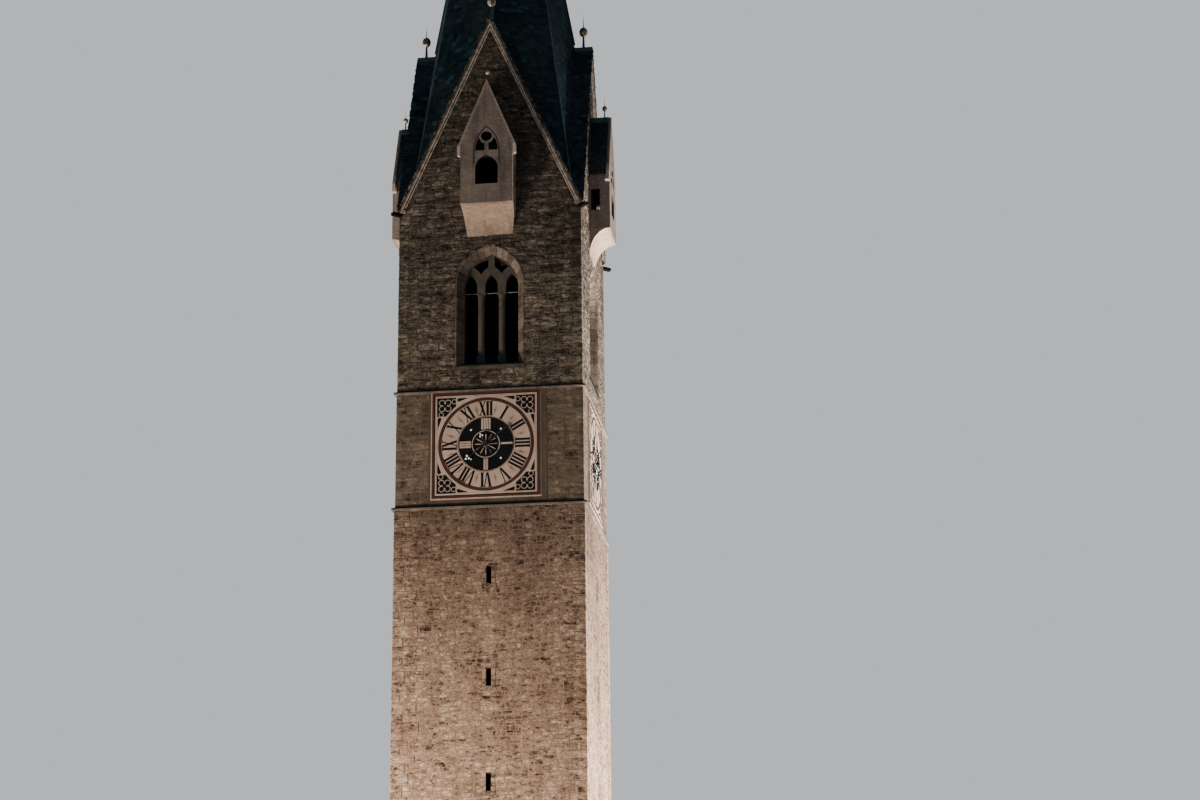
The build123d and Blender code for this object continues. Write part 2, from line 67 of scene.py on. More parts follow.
# Sizes repeated from the model's source, in metres
SPIRE_RADIUS = {"ridge": 1.702, "corner": 1.814}
WINDOW = {"half": 0.61, "splay": 0.142, "spread": 0.157, "fall": 0.11, "reveal": 0.22,
          "sill": BELFRY_FOOT + 0.68, "capital": BELFRY_FOOT + 2.28, "spring": BELFRY_FOOT + 2.462}
ORIEL = {"half": 0.592, "foot_half": 0.505, "overhang": 0.034, "foot": BELFRY_FOOT + 3.563,
         "bracket": BELFRY_FOOT + 4.203, "eaves": BELFRY_FOOT + 5.605, "apex": BELFRY_FOOT + 7.06}
SLIT = {"half": 0.055, "height": 0.38, "below": 1.33, "spacing": 2.204, "rows": 5}
DOOR = {"half": 0.35, "foot": 0.12, "spring": 0.87, "spread": 0.08, "reveal": 0.2}
COPING = {"band": 0.062, "fillet": 0.044}
RING = {"outer": 1.049, "width": 0.062, "annulus": 0.606, "centre": 0.31, "thin": 0.018, "raised": 0.005}
HANDS = {"hour": {"angle": 52.3, "tail": 0.504, "ball": 0.032, "gap": 0.034},
         "quarter": {"angle": 152.0, "tail": 0.2, "ball": 0.025, "gap": 0.072}}
TREFOIL = {"reach": 1.15, "rise": 0.75}
FINIAL_BALLS = [(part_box("ridge_caps")[1].z + 0.385, 0.1225), (ORIEL_RIDGE + 0.26, 0.068),
                (SPIRE_APEX + 0.42, 0.18)]

# Sizes of what is added here
STONE_FOOT = 0.012
WINDOW_MARGIN = 0.016
GABLE_MARGIN = 0.05
SLIT_FRAME = {"side": 0.085, "sill": 0.095, "lintel": 0.11}
LOUVRE = {"front": 1.665, "back": 1.585, "rise": 0.138, "thick": 0.016, "pitch": 0.104}
ORIEL_GROOVE = {"half": 0.285, "foot": BELFRY_FOOT + 5.14, "spring": BELFRY_FOOT + 5.46, "spread": 0.42}
PANEL = {"left": 0.07, "right": 0.15, "clear": 0.03}
BORDER = {"width": 0.058, "outside": 0.026}
SLATE = {"exposure": 0.105, "width": 0.135, "gap": 0.012, "lap": 0.012, "uneven": 0.006,
         "tail": (0.007, 0.013), "head": 0.002, "bed": 0.003}
ORIEL_SLATE = dict(SLATE, exposure=0.09, width=0.11)
DOOR_FRAME = 0.21
VERGE_OVERHANG = 0.03
BEDDING = 0.004


# Node materials
class Nodes:
    """Short calls for one material's node tree."""

    def __init__(self, name):
        self.material = bpy.data.materials.new(name)
        self.material.use_nodes = True
        self.tree = self.material.node_tree
        self.shader = self.tree.nodes["Principled BSDF"]
        self.place = self.add("ShaderNodeTexCoord").outputs["Object"]

    def add(self, kind, **values):
        node = self.tree.nodes.new(kind)
        for key, value in values.items():
            setattr(node, key, value)
        return node

    def feed(self, socket, value):
        """Link a socket to another one, or set it."""
        if isinstance(value, bpy.types.NodeSocket):
            self.tree.links.new(value, socket)
        else:
            socket.default_value = value

    def feed_all(self, node, **values):
        for key, value in values.items():
            self.feed(node.inputs[key.replace("_", " ")], value)

    def noise(self, scale, detail, rough, distortion=0.0):
        """Noise of one scale, or of three scales where it is stretched."""
        place = self.place
        if isinstance(scale, tuple):
            mapping = self.add("ShaderNodeMapping")
            self.feed_all(mapping, Vector=place, Scale=scale)
            place, scale = mapping.outputs["Vector"], 1.0
        node = self.add("ShaderNodeTexNoise")
        self.feed_all(node, Vector=place, Scale=scale, Detail=detail, Roughness=rough, Distortion=distortion)
        return node.outputs["Fac"]

    def span(self, value, low, high, to_low=0.0, to_high=1.0):
        node = self.add("ShaderNodeMapRange")
        self.feed_all(node, Value=value, From_Min=low, From_Max=high, To_Min=to_low, To_Max=to_high)
        return node.outputs["Result"]

    def patches(self, scale, detail, rough, low, high, to_low=0.0, to_high=1.0):
        """Soft-edged patches: a noise between two of its levels."""
        return self.span(self.noise(scale, detail, rough), low, high, to_low, to_high)

    def tone(self):
        """The tone that each small piece of a mesh carries."""
        return self.add("ShaderNodeAttribute", attribute_name="tone").outputs["Fac"]

    def axes(self):
        node = self.add("ShaderNodeSeparateXYZ")
        self.feed(node.inputs[0], self.place)
        return node.outputs

    def height(self):
        return self.axes()["Z"]

    def front_place(self):
        """On any side of the tower: the distance from its middle, the depth outward and the height."""
        axes = self.axes()
        x, y = self.math("ABSOLUTE", axes["X"]), self.math("ABSOLUTE", axes["Y"])
        return self.math("MINIMUM", x, y), self.math("MAXIMUM", x, y), axes["Z"]

    def math(self, operation, *values):
        node = self.add("ShaderNodeMath", operation=operation)
        for socket, value in zip(node.inputs, values):
            self.feed(socket, value)
        return node.outputs[0]

    def times(self, first, *others):
        for other in others:
            first = self.math("MULTIPLY", first, other)
        return first

    def ramp(self, value, stops):
        node = self.add("ShaderNodeValToRGB")
        self.feed(node.inputs["Fac"], value)
        elements = node.color_ramp.elements
        while len(elements) < len(stops):
            elements.new(0.5)
        for element, (position, colour) in zip(elements, stops):
            element.position = position
            element.color = (*colour, 1)
        return node.outputs["Color"]

    def mix(self, factor, a, b, blend="MIX"):
        node = self.add("ShaderNodeMix", data_type="RGBA", blend_type=blend)
        self.feed(node.inputs["Factor"], factor)
        for key, value in (("A", a), ("B", b)):
            socket = next(s for s in node.inputs if s.name == key and s.type == "RGBA")
            self.feed(socket, value if isinstance(value, bpy.types.NodeSocket) else (*value, 1))
        return next(s for s in node.outputs if s.type == "RGBA")

    def shade(self, colour, by, factor=1.0):
        """A colour multiplied by another, as far as the factor says."""
        return self.mix(factor, colour, by, "MULTIPLY")

    def weather(self, colour, painted_falloff):
        """A colour darkened over ranges of heights: painted shade standing for lamp light that falls off
        upward, and a darkening towards the ground.
        """
        for heights in (painted_falloff, LOW_DARKENING):
            colour = self.shade(colour, self.span(self.height(), *heights))
        return colour

    def finish(self, colour, roughness, bumps, shine=0.5, metallic=0.0):
        """The shader; each bump is a height and the distance that it stands for."""
        normal = None
        for value, distance in bumps:
            bump = self.add("ShaderNodeBump")
            self.feed_all(bump, Height=value, Distance=distance, Strength=1.0)
            if normal:
                self.feed(bump.inputs["Normal"], normal)
            normal = bump.outputs["Normal"]
        if normal:
            self.feed(self.shader.inputs["Normal"], normal)
        self.feed_all(self.shader, Base_Color=colour, Roughness=roughness, Specular_IOR_Level=shine,
                      Metallic=metallic)
        return self.material


def grey(level):
    return (level, level, level)


def masonry(name, stops, smear, smeared, painted_falloff, strata, grain=0.006, mottle=0.4, pitted=0.58):
    """Rough stone, cleft along its bed, smeared with mortar, mottled, pitted with painted shade in its pits,
    stained by soot, and darkened over heights by painted shade.
    """
    n = Nodes(name)
    clefts = n.noise((2.6, 2.6, 9), 5, 0.62)
    mottled = n.noise((8, 8, 16), 3, 0.62)
    fine = n.noise((30, 30, 46), 3, 0.6)
    tone = n.tone()
    for pattern, spread in ((clefts, 0.24), (mottled, mottle), (fine, 0.8 * mottle)):
        tone = n.math("ADD", tone, n.span(pattern, 0.3, 0.7, -spread, spread))
    smears = n.times(n.patches(4.4, 7, 0.74, smeared, smeared + 0.09), n.patches(24, 4, 0.65, 0.4, 0.56), 0.6)
    colour = n.mix(smears, n.ramp(tone, stops), smear)
    soot = n.times(n.patches((3.2, 3.2, 0.32), 5, 0.6, 0.42, 0.62), n.patches(0.6, 6, 0.7, 0.38, 0.58))
    colour = n.shade(colour, (0.5, 0.45, 0.41), soot)
    # Pits: dented by a bump, and painted near black as painted shade in them
    holes = n.times(n.patches((4.6, 4.6, 9.5), 4, 0.66, pitted, pitted + 0.05),
                    n.patches(1.5, 5, 0.66, 0.44, 0.56))
    colour = n.mix(n.times(holes, 0.75), colour, grey(0.0))
    bumps = [(clefts, strata), (mottled, grain * 1.5), (fine, grain), (holes, -0.012)]
    return n.finish(n.weather(colour, painted_falloff), 0.94, bumps, 0.15)


def lime(name, light, dark, painted_falloff, depth=0.008):
    """Lime mortar or plaster, floated by hand, with rain stains, darkened over heights by painted shade."""
    n = Nodes(name)
    fine = n.noise(46, 6, 0.75)
    colour = n.mix(n.patches(2.6, 6, 0.65, 0.35, 0.66), light, dark)
    colour = n.mix(n.span(fine, 0.36, 0.66, 0.0, 0.75), colour, [0.5 * level for level in dark])
    colour = n.shade(colour, (0.6, 0.55, 0.5), n.patches((4.0, 4.0, 0.3), 5, 0.6, 0.48, 0.7))
    return n.finish(n.weather(colour, painted_falloff), 0.95, [(n.noise(3.2, 3, 0.5), depth), (fine, depth * 0.3)], 0.15)


def slate_finish():
    """Blue-black slate: each slate its own tone, some with teal bloom, lichen or pale flecks."""
    n = Nodes("slate")
    colour = n.ramp(n.tone(), [(0.0, (0.0008, 0.0028, 0.0034)), (0.4, (0.0018, 0.0068, 0.0085)),
                               (0.75, (0.0038, 0.0135, 0.0165)), (0.94, (0.0085, 0.0225, 0.0265)),
                               (1.0, (0.013, 0.029, 0.033))])
    bloom = n.times(n.patches((1.1, 1.1, 0.2), 5, 0.6, 0.46, 0.64), n.patches(9, 4, 0.6, 0.4, 0.6), 0.6)
    colour = n.mix(bloom, colour, (0.011, 0.033, 0.041))
    lichen = n.times(n.patches(0.7, 5, 0.62, 0.45, 0.6), n.patches(14, 4, 0.65, 0.42, 0.6), 0.6)
    colour = n.mix(lichen, colour, (0.024, 0.023, 0.017))
    flecks = n.times(n.patches(17, 3, 0.6, 0.56, 0.66), n.patches(1.6, 4, 0.6, 0.4, 0.6), 0.5)
    colour = n.mix(flecks, colour, (0.02, 0.033, 0.036))
    rough = n.patches(6, 3, 0.5, 0.3, 0.7, 0.55, 0.8)
    return n.finish(colour, rough, [(n.noise((30, 30, 10.5), 5, 0.65), 0.0025)], 0.07)


def metal(name, light, dark, roughness, metallic, scale=6.0, depth=0.0015, bloom=None, shine=0.5):
    """Weathered sheet or cast metal, or a rough bed, with dull and bright patches."""
    n = Nodes(name)
    patches = n.noise(scale, 6, 0.65)
    colour = n.mix(n.span(patches, 0.36, 0.64), dark, light)
    if bloom:
        colour = n.mix(n.patches((1.5 * scale, 1.5 * scale, 0.2 * scale), 5, 0.65, 0.47, 0.64), colour, bloom)
    rough = n.span(patches, 0.3, 0.7, roughness + 0.16, roughness - 0.06)
    return n.finish(colour, rough, [(n.noise(scale * 5, 4, 0.6), depth)], shine, metallic)


def paint(name, light, dark, worn, shine=0.2):
    """Lime paint on plaster, thinned by weathering, with hairline wear."""
    n = Nodes(name)
    colour = n.mix(n.patches(2.4, 6, 0.65, 0.35, 0.66), light, dark)
    wear = n.times(n.patches(36, 6, 0.75, 0.54, 0.7), n.patches(4.2, 4, 0.6, 0.42, 0.62), 0.5)
    colour = n.mix(wear, colour, worn)
    colour = n.shade(colour, grey(0.45), n.patches((6.0, 6.0, 0.4), 5, 0.6, 0.52, 0.75, 0.0, 0.4))
    return n.finish(colour, 0.8, [(n.noise(30, 5, 0.7), 0.0012)], shine)


def boards_finish(name, light, dark, shine=0.4):
    """Weathered oak, with grain along each board and a tone for each board."""
    n = Nodes(name)
    grain = n.noise((46.0, 46.0, 2.4), 6, 0.7, 0.8)
    tone = n.math("ADD", n.times(n.tone(), 0.5), n.span(grain, 0.25, 0.75, 0.0, 0.5))
    return n.finish(n.mix(tone, dark, light), n.span(grain, 0.3, 0.7, 0.85, 0.65), [(grain, 0.002)], shine)


def plain_stone(name, light, dark, stain, shine=0.25):
    """Dressed stone in one piece, with a lighter and a darker bed."""
    n = Nodes(name)
    cloud = n.noise(3.5, 6, 0.65)
    fine = n.noise(55, 5, 0.7)
    colour = n.mix(n.span(cloud, 0.34, 0.66), dark, light)
    colour = n.mix(n.span(fine, 0.3, 0.7, 0.0, 0.4), colour, dark)
    colour = n.shade(colour, stain, n.patches((5.0, 5.0, 0.5), 5, 0.6, 0.48, 0.7))
    return n.finish(colour, 0.9, [(cloud, 0.004), (fine, 0.0015)], shine)


def coping_finish():
    """The two steps of a raking coping: lower arrises painted pale as a painted highlight, and darker
    weathered stone above them.
    """
    n = Nodes("gable_coping")
    along, _, z = n.front_place()
    above = n.math("SUBTRACT", n.math("ADD", z, n.times(along, RAKE)), GABLE_APEX)
    above = n.math("DIVIDE", above, math.hypot(1, RAKE))
    band_low = -COPING["band"]
    fillet_low = band_low - COPING["fillet"]
    # Painted highlight: the lower arris of each step painted pale, as if lit from below
    pale = n.math("MAXIMUM", n.span(above, fillet_low + 0.014, fillet_low + 0.02, 1.0, 0.0),
                  n.times(n.span(above, band_low - 0.002, band_low + 0.002),
                          n.span(above, band_low + 0.018, band_low + 0.026, 1.0, 0.0)))
    lumps = n.noise(9, 5, 0.65)
    fine = n.noise(50, 5, 0.65)
    dark = n.mix(n.span(lumps, 0.38, 0.62), (0.04, 0.028, 0.019), (0.16, 0.118, 0.083))
    light = n.mix(n.span(lumps, 0.3, 0.55), (0.14, 0.1, 0.073), (0.4, 0.3, 0.225))
    colour = n.shade(n.mix(pale, dark, light), grey(0.45), n.span(fine, 0.35, 0.65, 0.0, 0.5))
    return n.finish(colour, 0.92, [(lumps, 0.008), (fine, 0.002)], 0.2)


def oriel_finish():
    """Lime plaster, rain-washed; the bracket and the cheeks painted lighter as painted light, the inside
    painted dark as painted shade, and an incised arch round the light drawn as a dark line of painted shade.
    """
    n = Nodes("oriel_plaster")
    along, depth, z = n.front_place()
    half, bracket, eaves, apex = (ORIEL[key] for key in ("half", "bracket", "eaves", "apex"))
    cloud = n.noise(2.2, 6, 0.6)
    # The bracket is painted much lighter than the plaster above it: painted light, as if lit from below
    upper = n.mix(n.span(cloud, 0.35, 0.66), (0.18, 0.128, 0.094), (0.112, 0.078, 0.057))
    lower = n.mix(n.span(cloud, 0.35, 0.66), (0.39, 0.26, 0.178), (0.31, 0.2, 0.135))
    colour = n.mix(n.span(z, bracket - 0.008, bracket + 0.008), lower, upper)

    # Cheeks painted lighter: painted light. The inside painted near black: painted shade.
    cheek_light = n.times(n.span(along, half - 0.006, half - 0.003),
                    n.span(depth, ORIEL_FRONT - 0.006, ORIEL_FRONT - 0.003, 1.0, 0.0),
                    n.span(z, bracket, bracket + 0.01))
    colour = n.mix(cheek_light, colour, (0.25, 0.18, 0.132))
    # Painted shade: the inside of the oriel painted near black
    inside = n.times(n.span(along, half - 0.03, half - 0.02, 1.0, 0.0),
                     n.span(depth, ORIEL_FRONT - 0.04, ORIEL_FRONT - 0.03, 1.0, 0.0),
                     n.span(z, bracket + 0.04, bracket + 0.05))
    colour = n.mix(inside, colour, (0.014, 0.011, 0.009))

    # Consoles at the eaves and the verge above them
    verge = n.math("ADD", z, n.times(along, (apex - eaves) / half))
    bright = n.math("MAXIMUM", n.span(verge, apex - 0.01, apex + 0.01),
                    n.times(n.span(along, half + 0.002, half + 0.008),
                            n.span(z, bracket + 1.0, bracket + 1.02)))
    bright = n.times(bright, n.span(z, eaves - 0.02, eaves, 0.85, 0.25))
    colour = n.mix(bright, colour, (0.4, 0.3, 0.22))

    # An incised arch, drawn as a dark line flush with the face: painted shade standing for its groove
    arch = ORIEL_GROOVE
    rise = n.math("MAXIMUM", n.math("SUBTRACT", z, arch["spring"]), 0.0)
    across = n.math("ADD", along, arch["spread"])
    radius = n.math("SQRT", n.math("ADD", n.times(across, across), n.times(rise, rise)))
    off = n.math("ABSOLUTE", n.math("SUBTRACT", radius, arch["half"] + arch["spread"]))
    groove_shade = n.times(n.span(off, 0.011, 0.019, 1.0, 0.0), n.span(z, arch["foot"], arch["foot"] + 0.02),
                     n.span(depth, ORIEL_FRONT - 0.01, ORIEL_FRONT - 0.005), 0.9)
    colour = n.mix(groove_shade, colour, (0.012, 0.009, 0.007))

    fine = n.noise(60, 5, 0.7)
    colour = n.shade(colour, grey(0.4), n.patches((9, 9, 22), 4, 0.65, 0.34, 0.62, 0.55, 0.0))
    colour = n.shade(colour, grey(0.5), n.span(fine, 0.36, 0.66, 0.0, 0.6))
    colour = n.shade(colour, (0.5, 0.47, 0.43), n.patches((7.0, 7.0, 0.5), 5, 0.6, 0.5, 0.7, 0.0, 0.7))
    return n.finish(colour, 0.9, [(n.noise(4, 3, 0.5), 0.006), (fine, 0.0012)], 0.2)


def tracery_finish():
    """Dressed stone that darkens to a dark blue-grey at the plinths."""
    n = Nodes("tracery_stone")
    cloud = n.noise(5, 6, 0.65)
    fine = n.noise(60, 5, 0.7)
    colour = n.mix(n.span(cloud, 0.34, 0.66), (0.031, 0.0225, 0.0155), (0.061, 0.0445, 0.03))
    colour = n.mix(n.span(fine, 0.3, 0.7, 0.0, 0.35), colour, (0.046, 0.032, 0.021))
    plinth = WINDOW["sill"] + 0.185
    below = n.span(n.height(), plinth - 0.005, plinth + 0.005, 0.9, 0.0)
    colour = n.mix(below, colour, (0.012, 0.017, 0.022))
    return n.finish(colour, 0.88, [(cloud, 0.003), (fine, 0.0012)], 0.25)


def hand_finish():
    """Blackened iron."""
    n = Nodes("hand_iron")
    patches = n.noise(22, 5, 0.6)
    colour = n.mix(n.span(patches, 0.36, 0.64), grey(0.006), (0.016, 0.015, 0.014))
    return n.finish(colour, n.span(patches, 0.3, 0.7, 0.65, 0.45), [(patches, 0.001)], 0.3, 0.3)


def finial_finish():
    """Black iron stems and spikes, and balls whose old gilding holds in patches, with more gilt below as a
    painted highlight of light from below.
    """
    n = Nodes("finial_metal")
    patches = n.noise(9, 6, 0.65)
    z = n.height()
    black_iron = n.mix(n.patches(30, 5, 0.65, 0.36, 0.64), (0.004, 0.0045, 0.005), (0.011, 0.012, 0.014))
    ball = n.mix(n.span(patches, 0.4, 0.62), (0.03, 0.022, 0.014), (0.58, 0.43, 0.24))
    gilt_and_highlight = 0.0
    for level, half in FINIAL_BALLS:
        from_centre = n.math("SUBTRACT", z, level)
        here = n.span(n.math("ABSOLUTE", from_centre), half - 0.002, half + 0.002, 1.0, 0.0)
        # Painted highlight: more gilt towards the bottom of each ball, as if lit from below
        low = n.span(n.math("DIVIDE", from_centre, half), -0.75, 0.1, 1.0, 0.1)
        gilt_and_highlight = n.math("MAXIMUM", gilt_and_highlight, n.times(here, low))
    return n.finish(n.mix(gilt_and_highlight, black_iron, ball), n.span(patches, 0.3, 0.7, 0.6, 0.4), [(patches, 0.001)],
                    0.3, n.times(gilt_and_highlight, 0.8))


# Painted shade over heights, standing for lamp light that falls off upward, and a darkening towards the
# ground: from, to, and the level at each
# Darker towards the ground
LOW_DARKENING = (0.0, 6.5, 0.55, 1.0)
# Painted shade: the shaft's and the belfry's colours darken upward, as lamp light falls off with height
SHAFT_PAINTED_FALLOFF = (7.5, 13.3, 0.88, 0.28)
BELFRY_PAINTED_FALLOFF = (17.0, 24.0, 1.0, 0.6)
EVEN = (0.0, 1.0, 1.0, 1.0)
shaft_stone = masonry("shaft_stone", [
    (0.0, (0.054, 0.0303, 0.0182)), (0.25, (0.18, 0.105, 0.0631)), (0.5, (0.333, 0.198, 0.123)),
    (0.8, (0.513, 0.324, 0.213)), (1.0, (0.72, 0.492, 0.342))],
    (0.468, 0.295, 0.19), 0.46, SHAFT_PAINTED_FALLOFF, 0.012, pitted=0.57)
# The belfry's and the clock stage's stones, mortars and plaster are set far darker than the shaft's: partly
# their own colour, partly painted shade for lamp light falling off with height
belfry_stone = masonry("belfry_stone", [
    (0.0, (0.00516, 0.0036, 0.00248)), (0.25, (0.0292, 0.0208, 0.0135)), (0.5, (0.0688, 0.0488, 0.0321)),
    (0.8, (0.129, 0.0928, 0.0628)), (1.0, (0.232, 0.168, 0.117))],
    (0.106, 0.077, 0.0505), 0.54, BELFRY_PAINTED_FALLOFF, 0.026, grain=0.008, mottle=0.36)
clock_stone = masonry("clock_stage_stone", [
    (0.0, (0.0123, 0.0082, 0.00518)), (0.25, (0.0458, 0.0307, 0.0192)), (0.5, (0.0862, 0.0582, 0.037)),
    (0.8, (0.141, 0.0968, 0.0622)), (1.0, (0.238, 0.164, 0.111))],
    (0.0968, 0.0656, 0.0422), 0.47, EVEN, 0.012, grain=0.004, mottle=0.25, pitted=0.6)
dressed_stone = masonry("dressed_stone", [
    (0.0, (0.024, 0.0163, 0.0105)), (0.5, (0.0736, 0.0503, 0.0347)), (1.0, (0.144, 0.101, 0.0714))],
    (0.08, 0.0555, 0.0381), 0.58, EVEN, 0.004, grain=0.0025, mottle=0.2, pitted=0.65)
shaft_mortar = lime("shaft_mortar", (0.45, 0.279, 0.179), (0.306, 0.184, 0.114), SHAFT_PAINTED_FALLOFF)
belfry_mortar = lime("belfry_mortar", (0.085, 0.061, 0.042), (0.05, 0.036, 0.025), BELFRY_PAINTED_FALLOFF)
clock_mortar = lime("clock_stage_mortar", (0.106, 0.0705, 0.0444), (0.0704, 0.0476, 0.0296), EVEN)
panel_plaster = lime("panel_plaster", (0.088, 0.0599, 0.0385), (0.0572, 0.0385, 0.0244), EVEN, depth=0.004)
slate = slate_finish()
slate_bed = metal("slate_bed", (0.009, 0.013, 0.015), (0.004, 0.006, 0.007), 0.85, 0.0, 14.0, 0.004)
copper = metal("patinated_copper", (0.012, 0.024, 0.026), (0.005, 0.009, 0.01), 0.6, 0.2,
               bloom=(0.02, 0.045, 0.048))
# Lead set near black, far darker than lead is: painted shade on the window sills and on the string courses'
# flashing
lead = metal("lead", (0.008, 0.007, 0.006), (0.003, 0.0026, 0.0022), 0.75, 0.1, shine=0.1)
iron = metal("forged_iron", (0.012, 0.012, 0.013), (0.005, 0.005, 0.006), 0.55, 0.3, 18.0)
worn_iron = metal("worn_iron", (0.2, 0.175, 0.15), (0.08, 0.068, 0.057), 0.7, 0.2, 18.0)
# Gilt made pale, near white and hardly metallic: painted highlight standing for the glint of the gilt balls
pale_gilt = metal("pale_gilt", (0.84, 0.78, 0.67), (0.7, 0.62, 0.5), 0.42, 0.15, 30.0)
cream_paint = paint("cream_paint", (0.34, 0.233, 0.168), (0.246, 0.162, 0.113), (0.111, 0.0664, 0.0437))
red_paint = paint("red_brown_paint", (0.052, 0.0125, 0.0055), (0.03, 0.008, 0.004), (0.08, 0.035, 0.02))
black_paint = paint("black_paint", (0.006, 0.0055, 0.0055), (0.0025, 0.0025, 0.003), (0.03, 0.024, 0.019),
                    0.05)
mark_paint = paint("mark_paint", (0.2, 0.105, 0.07), (0.14, 0.072, 0.048), (0.27, 0.175, 0.13))
white_paint = paint("white_paint", (0.85, 0.8, 0.74), (0.7, 0.64, 0.57), (0.4, 0.34, 0.28))
old_oak = boards_finish("old_oak", (0.13, 0.083, 0.052), (0.035, 0.022, 0.014))
# Oak set near black with almost no sheen: painted shade standing for the dark inside of the belfry
dark_oak = boards_finish("dark_oak", (0.006, 0.0048, 0.004), (0.002, 0.0018, 0.0015), 0.03)
kneeler_stone = plain_stone("kneeler_stone", (0.23, 0.156, 0.105), (0.119, 0.078, 0.0511), (0.45, 0.4, 0.36))
string_stone = plain_stone("string_stone", (0.15, 0.107, 0.076), (0.07, 0.048, 0.034), (0.5, 0.46, 0.42))
spout_stone = plain_stone("spout_stone", (0.006, 0.0045, 0.0035), (0.003, 0.0022, 0.0018), grey(0.5), 0.02)
paving_stone = plain_stone("paving_stone", (0.2, 0.16, 0.13), (0.12, 0.1, 0.08), grey(0.5))
hand_iron = hand_finish()
finial_metal = finial_finish()

# Finishes of the model's own nodes, by the ends of their names
NODE_FINISH = {
    "shaft_wall": shaft_mortar, "clock_wall": clock_mortar, "belfry_wall": belfry_mortar,
    "belfry_tracery": tracery_finish(), "gable_roof": slate_bed, "oriel": oriel_finish(),
    "hour_hand": hand_iron, "quarter_hand": hand_iron, "entrance_door": old_oak,
    "lower_string_course": string_stone, "upper_string_course": string_stone,
    "ground_floor": paving_stone, "belfry_floor": old_oak, "watch_floor": old_oak, "spire": slate_bed,
    "oriel_roofs": slate_bed, "ridge_caps": copper, "gable_copings": coping_finish(),
    "corner_kneelers": kneeler_stone, "corner_spouts": spout_stone, "clock_dials": cream_paint,
    "roof_finials": finial_metal, "spire_finial": finial_metal,
}
for name, node in frame["nodes"].items():
    node_finish = NODE_FINISH[max((key for key in NODE_FINISH if name.endswith(key)), key=len)]
    node.data.materials.clear()
    node.data.materials.append(node_finish)


# Meshes
class Pile:
    """Many small solids joined in one mesh, each with its own tone."""

    def __init__(self):
        self.points = []
        self.faces = []
        self.tones = []

    def add(self, points, faces, tone=0.5):
        base = len(self.points)
        self.points.extend(points)
        self.faces.extend([base + i for i in face] for face in faces)
        self.tones.extend([tone] * len(points))

    def make(self, name, material, slot, side="front", body="root", smooth=False):
        mesh = bpy.data.meshes.new(name)
        mesh.from_pydata([Vector(p) for p in self.points], [], self.faces)
        layer = mesh.attributes.new("tone", "FLOAT", "POINT")
        layer.data.foreach_set("value", self.tones)
        mesh.materials.append(material)
        mesh.transform(Matrix.Rotation(math.radians(SIDES[side]), 4, "Z"))
        if smooth:
            mesh.shade_smooth()
        mesh.validate()
        piece = bpy.data.objects.new(name, mesh)
        bpy.context.scene.collection.objects.link(piece)
        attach(piece, body)


def lerp(a, b, t):
    return a + (b - a) * t


def out(u, z, depth):
    """A point of the front: u to the right, z up, at a depth outward from the axis."""
    return (u, -depth, z)


def ring_faces(count, first, second):
    """Quads between two rings of points in a closed loop."""
    return [[first + i, first + (i + 1) % count, second + (i + 1) % count, second + i] for i in range(count)]


def rubble(pile, corners, base, rise, rng, tone, knock):
    """One rough stone: its corners knocked off and its outline uneven, its face swelling from the joint."""
    short = min(math.dist(corners[0], corners[3]), math.dist(corners[1], corners[2]),
                math.dist(corners[0], corners[1]))
    outline = []
    for i, corner in enumerate(corners):
        for other in (corners[i - 1], corners[(i + 1) % 4]):
            reach = min(0.42, knock * rng.uniform(0.2, 1.0) * short / math.dist(corner, other))
            outline.append(tuple(lerp(corner[j], other[j], reach) + rng.uniform(-0.05, 0.05) * short
                                 for j in (0, 1)))
    middle = (sum(p[0] for p in outline) / 8, sum(p[1] for p in outline) / 8)
    shoulder = []
    for point in outline:
        inset = min(0.5, rng.uniform(0.08, 0.2) * short / math.dist(point, middle))
        shoulder.append((lerp(point[0], middle[0], inset), lerp(point[1], middle[1], inset)))
    tilt = rng.uniform(-0.3, 0.3) * rise
    points = [out(u, z, base - BEDDING) for u, z in outline]
    for i, (u, z) in enumerate(shoulder):
        points.append(out(u, z, base + rise * rng.uniform(0.6, 1.0) + (tilt if i < 4 else -tilt)))
    points.append(out(*middle, base + rise * rng.uniform(0.8, 1.15)))
    pile.add(points, ring_faces(8, 0, 8) + [[8 + i, 8 + (i + 1) % 8, 16] for i in range(8)], tone)


def block(pile, corners, base, rise, bevel, tone):
    """One dressed block with chamfered arrises, on four corners in the front's plane."""
    middle = (sum(p[0] for p in corners) / 4, sum(p[1] for p in corners) / 4)
    inner = []
    for corner in corners:
        inset = bevel / math.dist(corner, middle)
        inner.append((lerp(corner[0], middle[0], inset), lerp(corner[1], middle[1], inset)))
    rings = ((corners, base - BEDDING), (corners, base + rise - bevel / 2), (inner, base + rise))
    points = [out(u, z, depth) for outline, depth in rings for u, z in outline]
    pile.add(points, ring_faces(4, 0, 4) + ring_faces(4, 4, 8) + [[8, 9, 10, 11]], tone)


